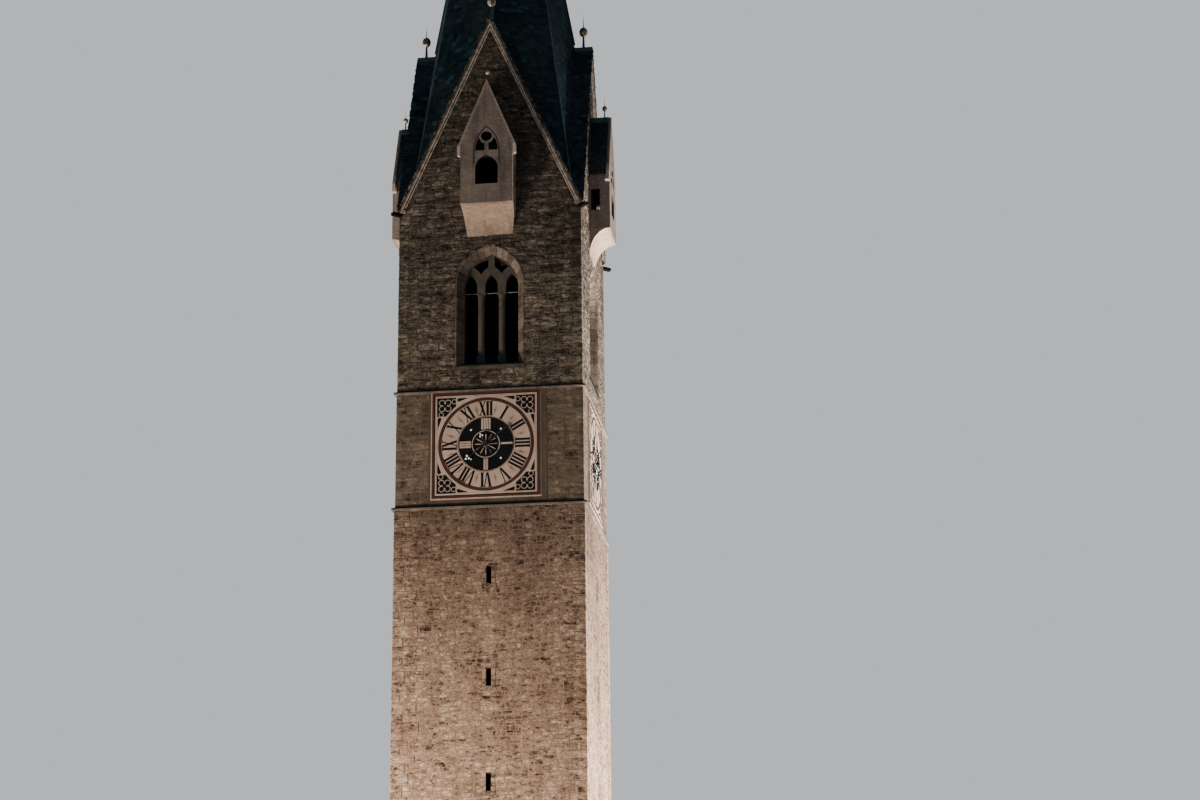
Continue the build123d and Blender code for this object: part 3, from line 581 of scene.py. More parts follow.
def chamfered_box(pile, low, high, bevel, tone, turn):
    """A box with a chamfer on every edge, turned to its place: each corner has a point on each face."""
    signs = list(itertools.product((0, 1), repeat=3))
    points = [turn @ Vector([(low, high)[sign[k]][k] + (0 if k == axis else bevel * (1 - 2 * sign[k]))
                             for k in range(3)]) for axis in range(3) for sign in signs]
    faces = []
    for axis in range(3):
        b, c = (axis + 1) % 3, (axis + 2) % 3

        def at(face_axis, level, at_b, at_c):
            sign = [0, 0, 0]
            sign[axis], sign[b], sign[c] = level, at_b, at_c
            return 8 * face_axis + signs.index(tuple(sign))

        for level in (0, 1):
            loop = [at(axis, level, *pair) for pair in ((0, 0), (1, 0), (1, 1), (0, 1))]
            faces.append(loop if level else loop[::-1])
        for pair in itertools.product((0, 1), repeat=2):
            loop = [at(b, 0, *pair), at(b, 1, *pair), at(c, 1, *pair), at(c, 0, *pair)]
            faces.append(loop if pair[0] == pair[1] else loop[::-1])
    for k, sign in enumerate(signs):
        faces.append([k, 8 + k, 16 + k] if sum(sign) % 2 else [16 + k, 8 + k, k])
    pile.add(points, faces, tone)


def bar(pile, start, end, radius, taper=1.0):
    """A round bar of eight sides between two points."""
    start, end = Vector(start), Vector(end)
    along = (end - start).normalized()
    across = along.orthogonal().normalized()
    other = along.cross(across)
    points = []
    for centre, size in ((start, radius), (end, radius * taper)):
        for i in range(8):
            angle = math.pi * i / 4
            points.append(centre + size * (math.cos(angle) * across + math.sin(angle) * other))
    pile.add(points, ring_faces(8, 0, 8) + [list(range(8))[::-1], list(range(8, 16))])


def plate(pile, outline, base, rise):
    """A flat piece with an outline in the front's plane."""
    count = len(outline)
    points = [out(u, z, depth) for depth in (base, base + rise) for u, z in outline]
    pile.add(points, ring_faces(count, 0, count) + [list(range(count, 2 * count))])


def band(pile, inner, outer, base, rise):
    """A flat strip between two closed outlines with as many points."""
    count = len(inner)
    points = [out(u, z, depth) for depth in (base, base + rise) for u, z in (*inner, *outer)]
    top = [face[::-1] for face in ring_faces(count, 2 * count, 3 * count)]
    pile.add(points, top + ring_faces(count, 0, 2 * count) + ring_faces(count, 3 * count, count))


def circle(u, z, radius, steps=96):
    return [(u + radius * math.cos(2 * math.pi * i / steps), z + radius * math.sin(2 * math.pi * i / steps))
            for i in range(steps)]


def square(u, z, half):
    return [(u - half, z - half), (u + half, z - half), (u + half, z + half), (u - half, z + half)]


# Pointed arches, given as half width, spread of the centres, springing and sill
def arch_half_width(arch, widening, z):
    """Half the width of a pointed arch at a height, or None outside it."""
    half = arch["half"] + widening
    rise = z - arch["spring"]
    if z < arch["sill"] - widening:
        return None
    if rise <= 0:
        return half
    radius = half + arch["spread"]
    if rise >= math.sqrt(radius ** 2 - arch["spread"] ** 2):
        return None
    return math.sqrt(radius ** 2 - rise ** 2) - arch["spread"]


def arch_point(arch, widening, t):
    """A point on the arch's right half: t from 0 to 1 up the jamb and from 1 to 2 round the arc."""
    half = arch["half"] + widening
    if t <= 1:
        return (half, lerp(arch["sill"], arch["spring"], t))
    radius = half + arch["spread"]
    angle = math.acos(arch["spread"] / radius) * (t - 1)
    return (radius * math.cos(angle) - arch["spread"], arch["spring"] + radius * math.sin(angle))


def arch_stones(pile, arch, section, jamb_stones, arc_stones, joint, rng, tone):
    """Jamb stones and voussoirs: each is a section, of (widening, depth) points, carried along the arch."""
    steps = [i / jamb_stones for i in range(jamb_stones)]
    steps += [1 + i / arc_stones for i in range(arc_stones + 1)]
    count = len(section)
    for start, end in zip(steps, steps[1:]):
        for mirror in (1, -1):
            points = []
            gap = joint * (end - start) / 2
            for t in (start + gap, end - gap):
                for widening, depth in section:
                    u, z = arch_point(arch, widening, t)
                    points.append(out(mirror * u, z, depth))
            faces = ring_faces(count, 0, count) + [list(range(count)), list(range(count, 2 * count))[::-1]]
            pile.add(points, [face[::-mirror] for face in faces], rng.uniform(*tone))


# Fields of stone
def levels(low, high, least, most, rng):
    """Course levels between two heights."""
    heights = []
    while sum(heights) < high - low:
        heights.append(rng.uniform(least, most))
    scale = (high - low) / sum(heights)
    marks = [low]
    for height in heights:
        marks.append(marks[-1] + height * scale)
    return marks


def free_spans(z, left, right, holes):
    """The runs of wall left at a height between its ends and its holes."""
    spans = [(left, right)]
    for cut in filter(None, (hole(z) for hole in holes)):
        kept = []
        for a, b in spans:
            if cut[0] > a:
                kept.append((a, min(b, cut[0])))
            if cut[1] < b:
                kept.append((max(a, cut[1]), b))
        spans = [(a, b) for a, b in kept if b - a > 0.03]
    return spans


def marks_along(run, length, rng):
    """Where the upright joints fall along a run of stones."""
    marks = [0.0]
    while marks[-1] < run:
        marks.append(marks[-1] + rng.uniform(*length) * rng.uniform(0.7, 1.3))
    if len(marks) > 2 and run - marks[-2] < 0.5 * length[0]:
        marks.pop(-2)
    marks[-1] = run
    return marks


def stone_field(pile, rng, marks, ends, holes, base, style, seed):
    """Courses of stones between the ends of a wall, round its holes."""
    def lift(u, k):
        if k in (0, len(marks) - 1):
            return 0
        return style["wave"] * noise.noise(Vector((u * 0.9, k * 3.7, seed)))

    for k, (low, high) in enumerate(zip(marks, marks[1:])):
        lower, upper = (free_spans(z, *ends(z, k), holes) for z in (low + 0.002, high - 0.002))
        if len(lower) != len(upper):
            middle = (low + high) / 2
            lower = upper = free_spans(middle, *ends(middle, k), holes)
        for (a0, a1), (b0, b1) in zip(lower, upper):
            run = (a1 - a0 + b1 - b0) / 2
            joints = marks_along(run, style["length"], rng)
            slants = [0.0] + [rng.uniform(-0.02, 0.02) for _ in joints[2:]] + [0.0]
            for i, (start, end) in enumerate(zip(joints, joints[1:])):
                f0, f1 = start / run, end / run
                gap = rng.uniform(*style["joint"]) / 2
                corners = [(lerp(a0, a1, f0) - slants[i] + gap, low + gap),
                           (lerp(a0, a1, f1) - slants[i + 1] - gap, low + gap),
                           (lerp(b0, b1, f1) + slants[i + 1] - gap, high - gap),
                           (lerp(b0, b1, f0) + slants[i] + gap, high - gap)]
                corners = [(u, z + lift(u, k if j < 2 else k + 1)) for j, (u, z) in enumerate(corners)]
                if corners[1][0] - corners[0][0] < 0.03 and corners[2][0] - corners[3][0] < 0.03:
                    continue
                stones = [corners]
                if high - low > style["split_over"] and rng.random() < style["split"]:
                    cut = rng.uniform(0.4, 0.6)
                    left, right = ([lerp(corners[foot][j], corners[head][j], cut) for j in (0, 1)]
                                   for foot, head in ((0, 3), (1, 2)))
                    stones = [[corners[0], corners[1], (right[0], right[1] - gap), (left[0], left[1] - gap)],
                              [(left[0], left[1] + gap), (right[0], right[1] + gap), corners[2], corners[3]]]
                for corners in stones:
                    patch = noise.noise(Vector((corners[0][0] * 0.8, corners[0][1] * 0.8, seed + 7)))
                    tone = rng.choices(style["tones"], style["weights"])[0] + rng.uniform(-0.08, 0.08)
                    tone += patch * style["patch"]
                    rubble(pile, corners, base, rng.uniform(*style["rise"]), rng, tone, style["knock"])


def quoin_length(lengths, face, k):
    """On one face a corner's stones are by turns long and short, and the next face takes the others."""
    return lengths[k][(k + face) % 2]


def quoins(pile, rng, half, marks, lengths, style):
    """Corner stones that show on both faces."""
    joint = style["corner_joint"] / 2
    for face, angle in enumerate(SIDES.values()):
        turn = Matrix.Rotation(math.radians(angle), 4, "Z")
        for k, (low, high) in enumerate(zip(marks, marks[1:])):
            here = quoin_length(lengths, face, k)
            there = quoin_length(lengths, face + 1, k)
            proud = style["corner_rise"] * rng.uniform(0.8, 1.2)
            chamfered_box(pile, (half - here, -half - proud, low + joint),
                          (half + proud, -half + there, high - joint), style["corner_bevel"],
                          rng.uniform(*style["corner_tones"]), turn)


def stone_stage(number, name, quoin_name, material, slot, half, low, high, style, holes, gable=None):
    """One stage of the tower: its corner stones, and between them on each side the stones of its wall."""
    rng = random.Random(10 + number)
    corner_marks = levels(low, high, *style["corner_height"], rng)
    lengths = [(rng.uniform(*style["corner_long"]), rng.uniform(*style["corner_short"]))
               for _ in corner_marks]
    pile = Pile()
    quoins(pile, rng, half, corner_marks, lengths, style)
    pile.make(quoin_name, material, slot)
    top_marks = levels(high, *gable, rng) if gable else [high]
    stagger, gap = style["stagger"], style["corner_gap"]
    for face, side in enumerate(SIDES):
        marks = []
        owners = []
        for k, (foot, head) in enumerate(zip(corner_marks, corner_marks[1:])):
            if head - foot < style["one_course_under"]:
                count = 1
            else:
                count = 2 if head - foot >= style["two_courses_from"] else rng.choice((1, 2))
            marks += [lerp(foot, head, (i + (rng.uniform(-stagger, stagger) if i else 0)) / count)
                      for i in range(count)]
            owners += [k] * count

        def ends(z, k):
            if k >= len(owners):
                return (-gable_half(z) + GABLE_MARGIN, gable_half(z) - GABLE_MARGIN)
            length = quoin_length(lengths, face, owners[k])
            return (-half + length + gap, half - length - gap)

        pile = Pile()
        stone_field(pile, rng, marks + top_marks, ends, holes(side), half, style, 10 * number + face)
        pile.make(f"{side}_{name}_stones", material, slot, side)


# What the stones leave free
belfry_arch = dict(WINDOW, sill=WINDOW["sill"] - WINDOW["fall"])
door_arch = dict(DOOR, sill=DOOR["foot"])


def window_hole(z):
    half = arch_half_width(belfry_arch, WINDOW["splay"] + WINDOW_MARGIN - 0.01, z)
    return half and (-half, half)


def oriel_hole(z):
    foot, apex = ORIEL["foot"], ORIEL["apex"]
    if z < foot or z > apex:
        return None
    half = lerp(ORIEL["foot_half"], ORIEL["half"], min(1, (z - foot) / (ORIEL["bracket"] - foot)))
    slope = (ORIEL_RIDGE - ORIEL_EAVES) / (ORIEL["half"] + ORIEL["overhang"])
    half = min(half, (apex - z) / slope) - 0.01
    return (-half, half)


def slit_levels():
    """The sill and head of each slit on a side."""
    heads = [CLOCK_FOOT - SLIT["below"] - row * SLIT["spacing"] for row in range(SLIT["rows"])]
    return [(head - SLIT["height"], head) for head in heads]


def slit_hole(z):
    near = any(low - SLIT_FRAME["sill"] < z < high + SLIT_FRAME["lintel"] for low, high in slit_levels())
    half = SLIT["half"] + SLIT_FRAME["side"]
    return (-half, half) if near else None


def door_hole(z):
    half = arch_half_width(door_arch, DOOR_FRAME - 0.01, max(z, door_arch["sill"]))
    return half and (-half, half)


def panel_hole(z):
    return (DIAL_X - DIAL_HALF - PANEL["left"], DIAL_X + DIAL_HALF + PANEL["right"])


def gable_half(z):
    return min(BELFRY, (GABLE_APEX - z) / RAKE)


# The stones of each stage: the corner stones, the courses that meet them, and the stones of the wall
SHAFT_STYLE = {"corner_height": (0.13, 0.26), "corner_long": (0.34, 0.6), "corner_short": (0.17, 0.3),
               "corner_rise": 0.01, "corner_joint": 0.012, "corner_bevel": 0.01, "corner_tones": (0.4, 0.62),
               "one_course_under": 0.15, "two_courses_from": 0.15, "stagger": 0.12, "corner_gap": 0.012,
               "length": (0.08, 0.26), "joint": (0.002, 0.009), "rise": (0.0005, 0.006), "wave": 0.05,
               "split": 0.35, "split_over": 0.08, "knock": 0.6, "patch": 0.12,
               "tones": [0.16, 0.4, 0.48, 0.56, 0.66], "weights": [1, 3, 7, 7, 2]}
CLOCK_STYLE = {"corner_height": (0.1, 0.2), "corner_long": (0.3, 0.46), "corner_short": (0.16, 0.26),
               "corner_rise": 0.005, "corner_joint": 0.007, "corner_bevel": 0.005, "corner_tones": (0.4, 0.6),
               "one_course_under": 1.0, "two_courses_from": 1.0, "stagger": 0.0, "corner_gap": 0.0,
               "length": (0.12, 0.42), "joint": (0.001, 0.004), "rise": (0.0005, 0.003), "wave": 0.012,
               "split": 0.3, "split_over": 0.1, "knock": 0.3, "patch": 0.12,
               "tones": [0.4, 0.48, 0.56], "weights": [2, 5, 3]}
BELFRY_STYLE = {"corner_height": (0.16, 0.28), "corner_long": (0.34, 0.52), "corner_short": (0.18, 0.28),
                "corner_rise": 0.009, "corner_joint": 0.01, "corner_bevel": 0.009,
                "corner_tones": (0.38, 0.58), "one_course_under": 0.0, "two_courses_from": 0.19,
                "stagger": 0.1, "corner_gap": 0.008,
                "length": (0.12, 0.42), "joint": (0.003, 0.011), "rise": (0.002, 0.02), "wave": 0.035,
                "split": 0.3, "split_over": 0.1, "knock": 0.5, "patch": 0.18,
                "tones": [0.34, 0.43, 0.52, 0.62], "weights": [2, 6, 5, 2]}
stone_stage(1, "shaft", "shaft_quoins", shaft_stone, "rubble_stone", SHAFT, STONE_FOOT, CLOCK_FOOT - 0.045,
            SHAFT_STYLE, lambda side: [slit_hole, door_hole] if side == "back" else [slit_hole])
stone_stage(2, "clock", "clock_stage_quoins", clock_stone, "ashlar_stone", CLOCK, CLOCK_FOOT + 0.05,
            BELFRY_FOOT - 0.045, CLOCK_STYLE, lambda side: [panel_hole])
stone_stage(3, "belfry", "belfry_quoins", belfry_stone, "coursed_stone", BELFRY, BELFRY_FOOT + 0.04,
            EAVES - 0.07, BELFRY_STYLE, lambda side: [window_hole, oriel_hole],
            gable=(GABLE_APEX - 0.3, 0.085, 0.15))


# What fills and frames the openings
def window_frame(side, rng):
    """Jamb stones and voussoirs, the lead of the sill, and the tie bar."""
    splay = WINDOW["splay"]
    back = BELFRY - WINDOW["reveal"]
    section = [(splay + WINDOW_MARGIN, BELFRY - 0.01), (splay + WINDOW_MARGIN, BELFRY + 0.012),
               (splay - 0.006, BELFRY + 0.014), (-0.004, back + 0.004), (0.004, back - 0.02)]
    pile = Pile()
    arch_stones(pile, belfry_arch, section, 7, 8, 0.07, rng, (0.45, 0.95))
    pile.make(f"{side}_window_dressings", dressed_stone, "dressed_stone", side)

    inner = WINDOW["half"]
    outer = inner + splay
    low, high = (belfry_arch["sill"] + fall + 0.012 for fall in (0, WINDOW["fall"]))
    front = BELFRY + 0.026
    top = [(-outer, low, front), (outer, low, front), (inner, high, back), (-inner, high, back)]
    pile = Pile()
    pile.add([out(u, z - drop, depth) for drop in (0.03, 0) for u, z, depth in top],
             ring_faces(4, 0, 4) + [[3, 2, 1, 0], [4, 5, 6, 7]])
    pile.make(f"{side}_window_sill", lead, "lead", side)

    pile = Pile()
    level = WINDOW["capital"] + 0.05
    bar(pile, out(-inner, level, back - 0.075), out(inner, level, back - 0.075), 0.009)
    pile.make(f"{side}_window_tie_bar", worn_iron, "hand_iron", side)


def louvre_boards(side, rng):
    """Sloping boards behind the tracery, up to the head of the arch, near black as painted shade."""
    pile = Pile()
    level = WINDOW["sill"] + 0.02
    while half := arch_half_width(belfry_arch, -0.012, level + LOUVRE["rise"] + LOUVRE["thick"]):
        ends = [(level, LOUVRE["front"]), (level + LOUVRE["rise"], LOUVRE["back"])]
        points = [out(u, z + lift, depth) for u in (-half, half) for lift in (0, LOUVRE["thick"])
                  for z, depth in ends]
        pile.add(points, [[0, 2, 3, 1], [4, 5, 7, 6], [0, 1, 5, 4], [2, 6, 7, 3], [0, 4, 6, 2], [1, 3, 7, 5]],
                 rng.random())
        level += LOUVRE["pitch"]
    pile.make(f"{side}_louvre_boards", dark_oak, "floor_boards", side)


def slit_stones(side, rng):
    """A lintel, a sill and two jamb stones a side round each slit."""
    pile = Pile()
    half = SLIT["half"]
    for low, high in slit_levels():
        block(pile, [(-half - 0.11, high), (half + 0.1, high), (half + 0.11, high + 0.11),
                     (-half - 0.1, high + 0.115)], SHAFT, 0.01, 0.006, rng.uniform(0.35, 0.6))
        block(pile, [(-half - 0.1, low - 0.1), (half + 0.11, low - 0.095), (half + 0.1, low - 0.004),
                     (-half - 0.11, low - 0.004)], SHAFT, 0.012, 0.006, rng.uniform(0.1, 0.3))
        middle = lerp(low, high, rng.uniform(0.4, 0.6))
        for mirror in (1, -1):
            for a, b in ((low, middle), (middle, high)):
                near, far = mirror * half, mirror * (half + rng.uniform(0.08, 0.1))
                jamb = [(near, a + 0.004), (far, a + 0.004), (far, b - 0.006), (near, b - 0.006)]
                block(pile, jamb[::mirror], SHAFT, 0.009, 0.005, rng.uniform(0.35, 0.62))
    pile.make(f"{side}_slit_stones", shaft_stone, "rubble_stone", side)


def opening_stones():
    rng = random.Random(21)
    for side in SIDES:
        window_frame(side, rng)
        louvre_boards(side, rng)
        slit_stones(side, rng)
    pile = Pile()
    section = [(DOOR_FRAME, SHAFT - 0.01), (DOOR_FRAME, SHAFT + 0.018), (-0.003, SHAFT + 0.018),
               (-0.003, SHAFT - DOOR["reveal"])]
    arch_stones(pile, door_arch, section, 4, 5, 0.05, rng, (0.3, 0.8))
    pile.make("doorway_dressings", dressed_stone, "dressed_stone", "back")


opening_stones()


# String courses: lead over the light moulding and up the wall behind it, near black as painted shade above
# the moulding
for name, level, wall in (("lower", CLOCK_FOOT, CLOCK), ("upper", BELFRY_FOOT, BELFRY)):
    nose = NOSE[name]
    profile = [(wall - 0.01, 0.02), (nose - 0.004, -0.006), (nose + 0.005, -0.006), (nose + 0.005, 0.004),
               (wall + 0.009, 0.036), (wall + 0.009, 0.046), (wall - 0.01, 0.046)]
    string_lead = Pile()
    string_lead.add([(x * reach, y * reach, level + rise) for reach, rise in profile
                     for x, y in ((-1, -1), (1, -1), (1, 1), (-1, 1))],
                    [face for i in range(7) for face in ring_faces(4, 4 * i, 4 * ((i + 1) % 7))])
    string_lead.make(f"{name}_string_lead", lead, "lead")


# Roof slates
def crossings(polygon, z, along):
    """The two points where a flat outline crosses a level, in order along it."""
    hits = [a.lerp(b, (z - a.z) / (b.z - a.z)) for a, b in zip(polygon, polygon[1:] + polygon[:1])
            if (a.z - z) * (b.z - z) < 0]
    return sorted(hits, key=along.dot) if len(hits) == 2 else None


def slate_slope(pile, rng, polygon, outward, size=SLATE, over=(0.0, 0.0)):
    """Rows of slates over a flat slope, tails raised; over lets the ends of a row stand past its edges."""
    width = size["width"]
    normal = (polygon[1] - polygon[0]).cross(polygon[2] - polygon[0]).normalized()
    if normal.dot(outward) < 0:
        normal = -normal
    along = Vector((0, 0, 1)).cross(normal).normalized()
    up = normal.cross(along)
    low = min(p.z for p in polygon)
    high = max(p.z for p in polygon)
    rows = max(1, round((high - low) / (size["exposure"] * math.hypot(normal.x, normal.y))))
    for row in range(rows):
        lower = crossings(polygon, lerp(low, high, (row + 0.02) / rows), along)
        upper = crossings(polygon, lerp(low, high, (row + 0.98) / rows), along)
        if not lower or not upper:
            continue
        starts = lower[0] - along * rng.uniform(0, over[0]), upper[0] - along * over[0] * 0.3
        stops = lower[1] + along * rng.uniform(0, over[1]), upper[1] + along * over[1] * 0.3
        run = max((stops[0] - starts[0]).length, (stops[1] - starts[1]).length)
        marks = [0.0]
        shift = 0.5 if row % 2 else 1.0
        while marks[-1] < run:
            marks.append(marks[-1] + width * shift * rng.uniform(0.8, 1.2))
            shift = 1.0
        if len(marks) > 2 and run - marks[-2] < 0.4 * width:
            marks.pop(-2)
        marks[-1] = run
        for a, b in zip(marks, marks[1:]):
            gap = size["gap"] * width / run
            f0, f1 = a / run + gap, b / run - gap
            drops = [size["lap"] + rng.uniform(-size["uneven"], size["uneven"]) for _ in range(2)]
            tail = rng.uniform(*size["tail"])
            tails = [starts[0].lerp(stops[0], f) - up * drop for f, drop in zip((f0, f1), drops)]
            heads = [starts[1].lerp(stops[1], f) + normal * size["head"] for f in (f1, f0)]
            points = [p + normal * tail for p in tails] + heads + [p - normal * size["bed"] for p in tails]
            tone = min(1.0, max(0.0, rng.gauss(0.44, 0.3)))
            pile.add(points, [[0, 1, 2, 3], [4, 5, 1, 0], [5, 2, 1], [4, 0, 3]], tone)


def mirrored(mirror, *points):
    """Points of the front's right half, or the same on its left."""
    return [Vector((mirror * p.x, p.y, p.z)) for p in points]


def roof_slates():
    rng = random.Random(31)
    spire_height = SPIRE_APEX - GABLE_APEX
    tip = Vector((0, 0, SPIRE_APEX))
    ridge_end = Vector((0, -SPIRE_RADIUS["ridge"] * (SPIRE_APEX - ROOF_TOP) / spire_height, ROOF_TOP))
    corner_slope = SPIRE_RADIUS["corner"] / spire_height / math.sqrt(2)
    x = (SPIRE_APEX - ROOF_TOP) / (1 / corner_slope - RAKE)
    valley_top = Vector((x, -x, ROOF_TOP - RAKE * x))
    foot = Vector((BELFRY, -BELFRY, ROOF_TOP - RAKE * BELFRY))
    verge_top = Vector((0, -ROOF_REACH, ROOF_TOP))
    verge_foot = Vector((BELFRY, -ROOF_REACH, foot.z))
    half = ORIEL["half"] + ORIEL["overhang"]
    front, back, eaves = -ORIEL_ROOF_REACH + 0.004, -BELFRY - 0.02, ORIEL_EAVES + 0.09
    below_tip = tip - Vector((0, 0, 0.1))
    for side in SIDES:
        spire_pile, roof_pile, oriel_pile, rolls = Pile(), Pile(), Pile(), Pile()
        for mirror in (1, -1):
            triangle = mirrored(mirror, tip, ridge_end, valley_top)
            slate_slope(spire_pile, rng, triangle, Vector((0, -1, 0)))
            slope = mirrored(mirror, verge_top, ridge_end, valley_top, foot, verge_foot)
            slate_slope(roof_pile, rng, slope, Vector((mirror, 0, 0.3)), over=(VERGE_OVERHANG, 0)[::mirror])
        spire_pile.make(f"{side}_spire_slates", slate, "slate", side)
        roof_pile.make(f"{side}_gable_slates", slate, "slate", side)

        for mirror in (1, -1):
            corners = [Vector((0, front, ORIEL_RIDGE)), Vector((0, back, ORIEL_RIDGE)),
                       Vector((mirror * half, back, eaves)), Vector((mirror * half, front, eaves))]
            slate_slope(oriel_pile, rng, corners, Vector((mirror, 0, 0.3)), ORIEL_SLATE)
        oriel_pile.make(f"{side}_oriel_slates", slate, "slate", side)

        bar(rolls, ridge_end + Vector((0, 0, 0.1)), below_tip, 0.02, taper=0.6)
        bar(rolls, valley_top, below_tip, 0.02, taper=0.6)
        rolls.make(f"{side}_spire_rolls", copper, "copper", side)


roof_slates()


def verge_stones():
    """Rough stones bedded along the verges, between the copings and the slates."""
    rng = random.Random(41)
    slant = math.hypot(1, RAKE)
    length = BELFRY * slant
    for side in SIDES:
        pile = Pile()
        for mirror in (1, -1):
            along = 0.0
            while along < length - 0.06:
                size = min(rng.uniform(0.07, 0.19), length - 0.01 - along)
                a, b = along + 0.006, along + size - 0.006
                low, high = 0.003, rng.uniform(0.034, 0.058)
                corners = []
                for s, h in ((a, low), (b, low), (b, high * rng.uniform(0.8, 1)), (a, high)):
                    u = BELFRY - s / slant + h * RAKE / slant
                    corners.append((mirror * u, EAVES + s * RAKE / slant + h / slant))
                block(pile, corners[::-mirror], ROOF_REACH - 0.004, rng.uniform(0.006, 0.02), 0.008,
                      rng.uniform(0.1, 0.9))
                along += size
        pile.make(f"{side}_verge_stones", belfry_stone, "coursed_stone", side)


verge_stones()


# Painted dials
COAT = 0.0026
LINE = 0.0032
THIN = 0.0012
HUB = 0.066
PAINT_FACE = DIAL_FACE - 0.001


def on_dial(angle, across, radius):
    """A point of the dial: a radius out at an angle clockwise from the top, and a step across it."""
    s, c = math.sin(math.radians(angle)), math.cos(math.radians(angle))
    return (DIAL_X + across * c + radius * s, DIAL_Z - across * s + radius * c)


def radial(pile, angle, low, high, width, base, rise=COAT, end_width=None, shift=0.0, end_shift=None):
    """A stroke from one radius to another, beside the line at an angle clockwise from the top."""
    end_width = width if end_width is None else end_width
    end_shift = shift if end_shift is None else end_shift
    corners = [(shift - width / 2, low), (shift + width / 2, low), (end_shift + end_width / 2, high),
               (end_shift - end_width / 2, high)]
    plate(pile, [on_dial(angle, across, radius) for across, radius in corners], base, rise)


def dial_rings(piles):
    """The red border and ring with their dark edges, the black annulus and the ground of the wheel."""
    raised = PAINT_FACE + RING["raised"]
    border = DIAL_HALF - BORDER["width"]
    outer = RING["outer"]
    inner = outer - RING["width"]
    annulus = RING["annulus"]
    rim = annulus - RING["thin"]
    for name, shape, low, high, base, rise in (
            ("red", square, border + 0.001, DIAL_HALF - 0.001, raised, COAT),
            ("black", square, border - 0.008, border + 0.008, raised, LINE),
            ("red", circle, inner + 0.002, outer - 0.002, raised, COAT),
            ("black", circle, inner - 0.002, inner + 0.008, raised, LINE),
            ("black", circle, outer - 0.008, outer + 0.002, raised, LINE),
            ("black", circle, RING["centre"], rim, PAINT_FACE, COAT),
            ("black", circle, rim - 0.001, annulus + 0.001, raised, COAT),
            ("black", circle, annulus + 0.014, annulus + 0.022, PAINT_FACE, COAT),
            ("black", circle, HUB, RING["centre"] - RING["thin"], PAINT_FACE, COAT)):
        band(piles[name], shape(DIAL_X, DIAL_Z, low), shape(DIAL_X, DIAL_Z, high), base, rise)


def dial_centre(piles):
    """The bars of the quarters and four dots on the annulus, and a wheel of daggers inside it."""
    over = PAINT_FACE + COAT
    bar_low, bar_high, bar_width, bar_pitch = 0.33, 0.585, 0.042, 0.054
    shoulder, dagger_tip, dagger_width = 0.19, 0.255, 0.024
    for angle, count in ((90, 1), (180, 2), (270, 3), (0, 4)):
        for i in range(count):
            radial(piles["cream"], angle, bar_low, bar_high, bar_width, over, THIN,
                   shift=(i - (count - 1) / 2) * bar_pitch)
    for angle in (45, 135, 225, 315):
        plate(piles["dots"], circle(*on_dial(angle, 0, 0.465), 0.02, 20), over, THIN)
    for i in range(12):
        radial(piles["cream"], 30 * i, HUB, shoulder, 0.006, over, THIN, dagger_width)
        radial(piles["cream"], 30 * i, shoulder, dagger_tip, dagger_width, over, THIN, 0.004)


def dial_numerals(black, marks):
    """Roman numerals with their feet to the centre, and a mark at each half hour."""
    low, high = 0.641, 0.966
    foot = 0.014
    hair = 0.02
    face = PAINT_FACE

    def serif(angle, shift, width, levels=(low, high - foot)):
        for level in levels:
            radial(black, angle, level, level + foot, width, face, LINE, shift=shift)

    def stroke_i(angle, at, thick):
        radial(black, angle, low, high, thick, face, shift=at)
        serif(angle, at, 0.09)

    def stroke_v(angle, at, thick):
        radial(black, angle, low, high, thick * 0.7, face, end_width=thick, shift=at, end_shift=at - 0.06)
        radial(black, angle, low, high, hair, face, LINE, shift=at + 0.014, end_shift=at + 0.068)
        serif(angle, at - 0.06, 0.092, (high - foot,))
        serif(angle, at + 0.068, 0.056, (high - foot,))

    def stroke_x(angle, at, thick):
        radial(black, angle, low, high, thick * 0.95, face, shift=at + 0.052, end_shift=at - 0.052)
        radial(black, angle, low, high, hair, face, LINE, shift=at - 0.05, end_shift=at + 0.05)
        serif(angle, at - 0.052, 0.07)
        serif(angle, at + 0.052, 0.07)

    strokes = {"I": (stroke_i, 0.077), "V": (stroke_v, 0.158), "X": (stroke_x, 0.152)}
    thickness = {"III": 0.05, "IIII": 0.047}
    numerals = ["XII", "I", "II", "III", "IIII", "V", "VI", "VII", "VIII", "IX", "X", "XI"]
    for hour, numeral in enumerate(numerals):
        at = -sum(strokes[letter][1] for letter in numeral) / 2
        for letter in numeral:
            stroke, width = strokes[letter]
            stroke(30 * hour, at + width / 2, thickness.get(numeral, 0.054))
            at += width
        half_past = 30 * hour + 15
        radial(marks, half_past, 0.69, 0.795, 0.006, face, end_width=0.038)
        radial(marks, half_past, 0.795, 0.9, 0.038, face, end_width=0.006)
        radial(marks, half_past, 0.772, 0.788, 0.07, face, LINE)


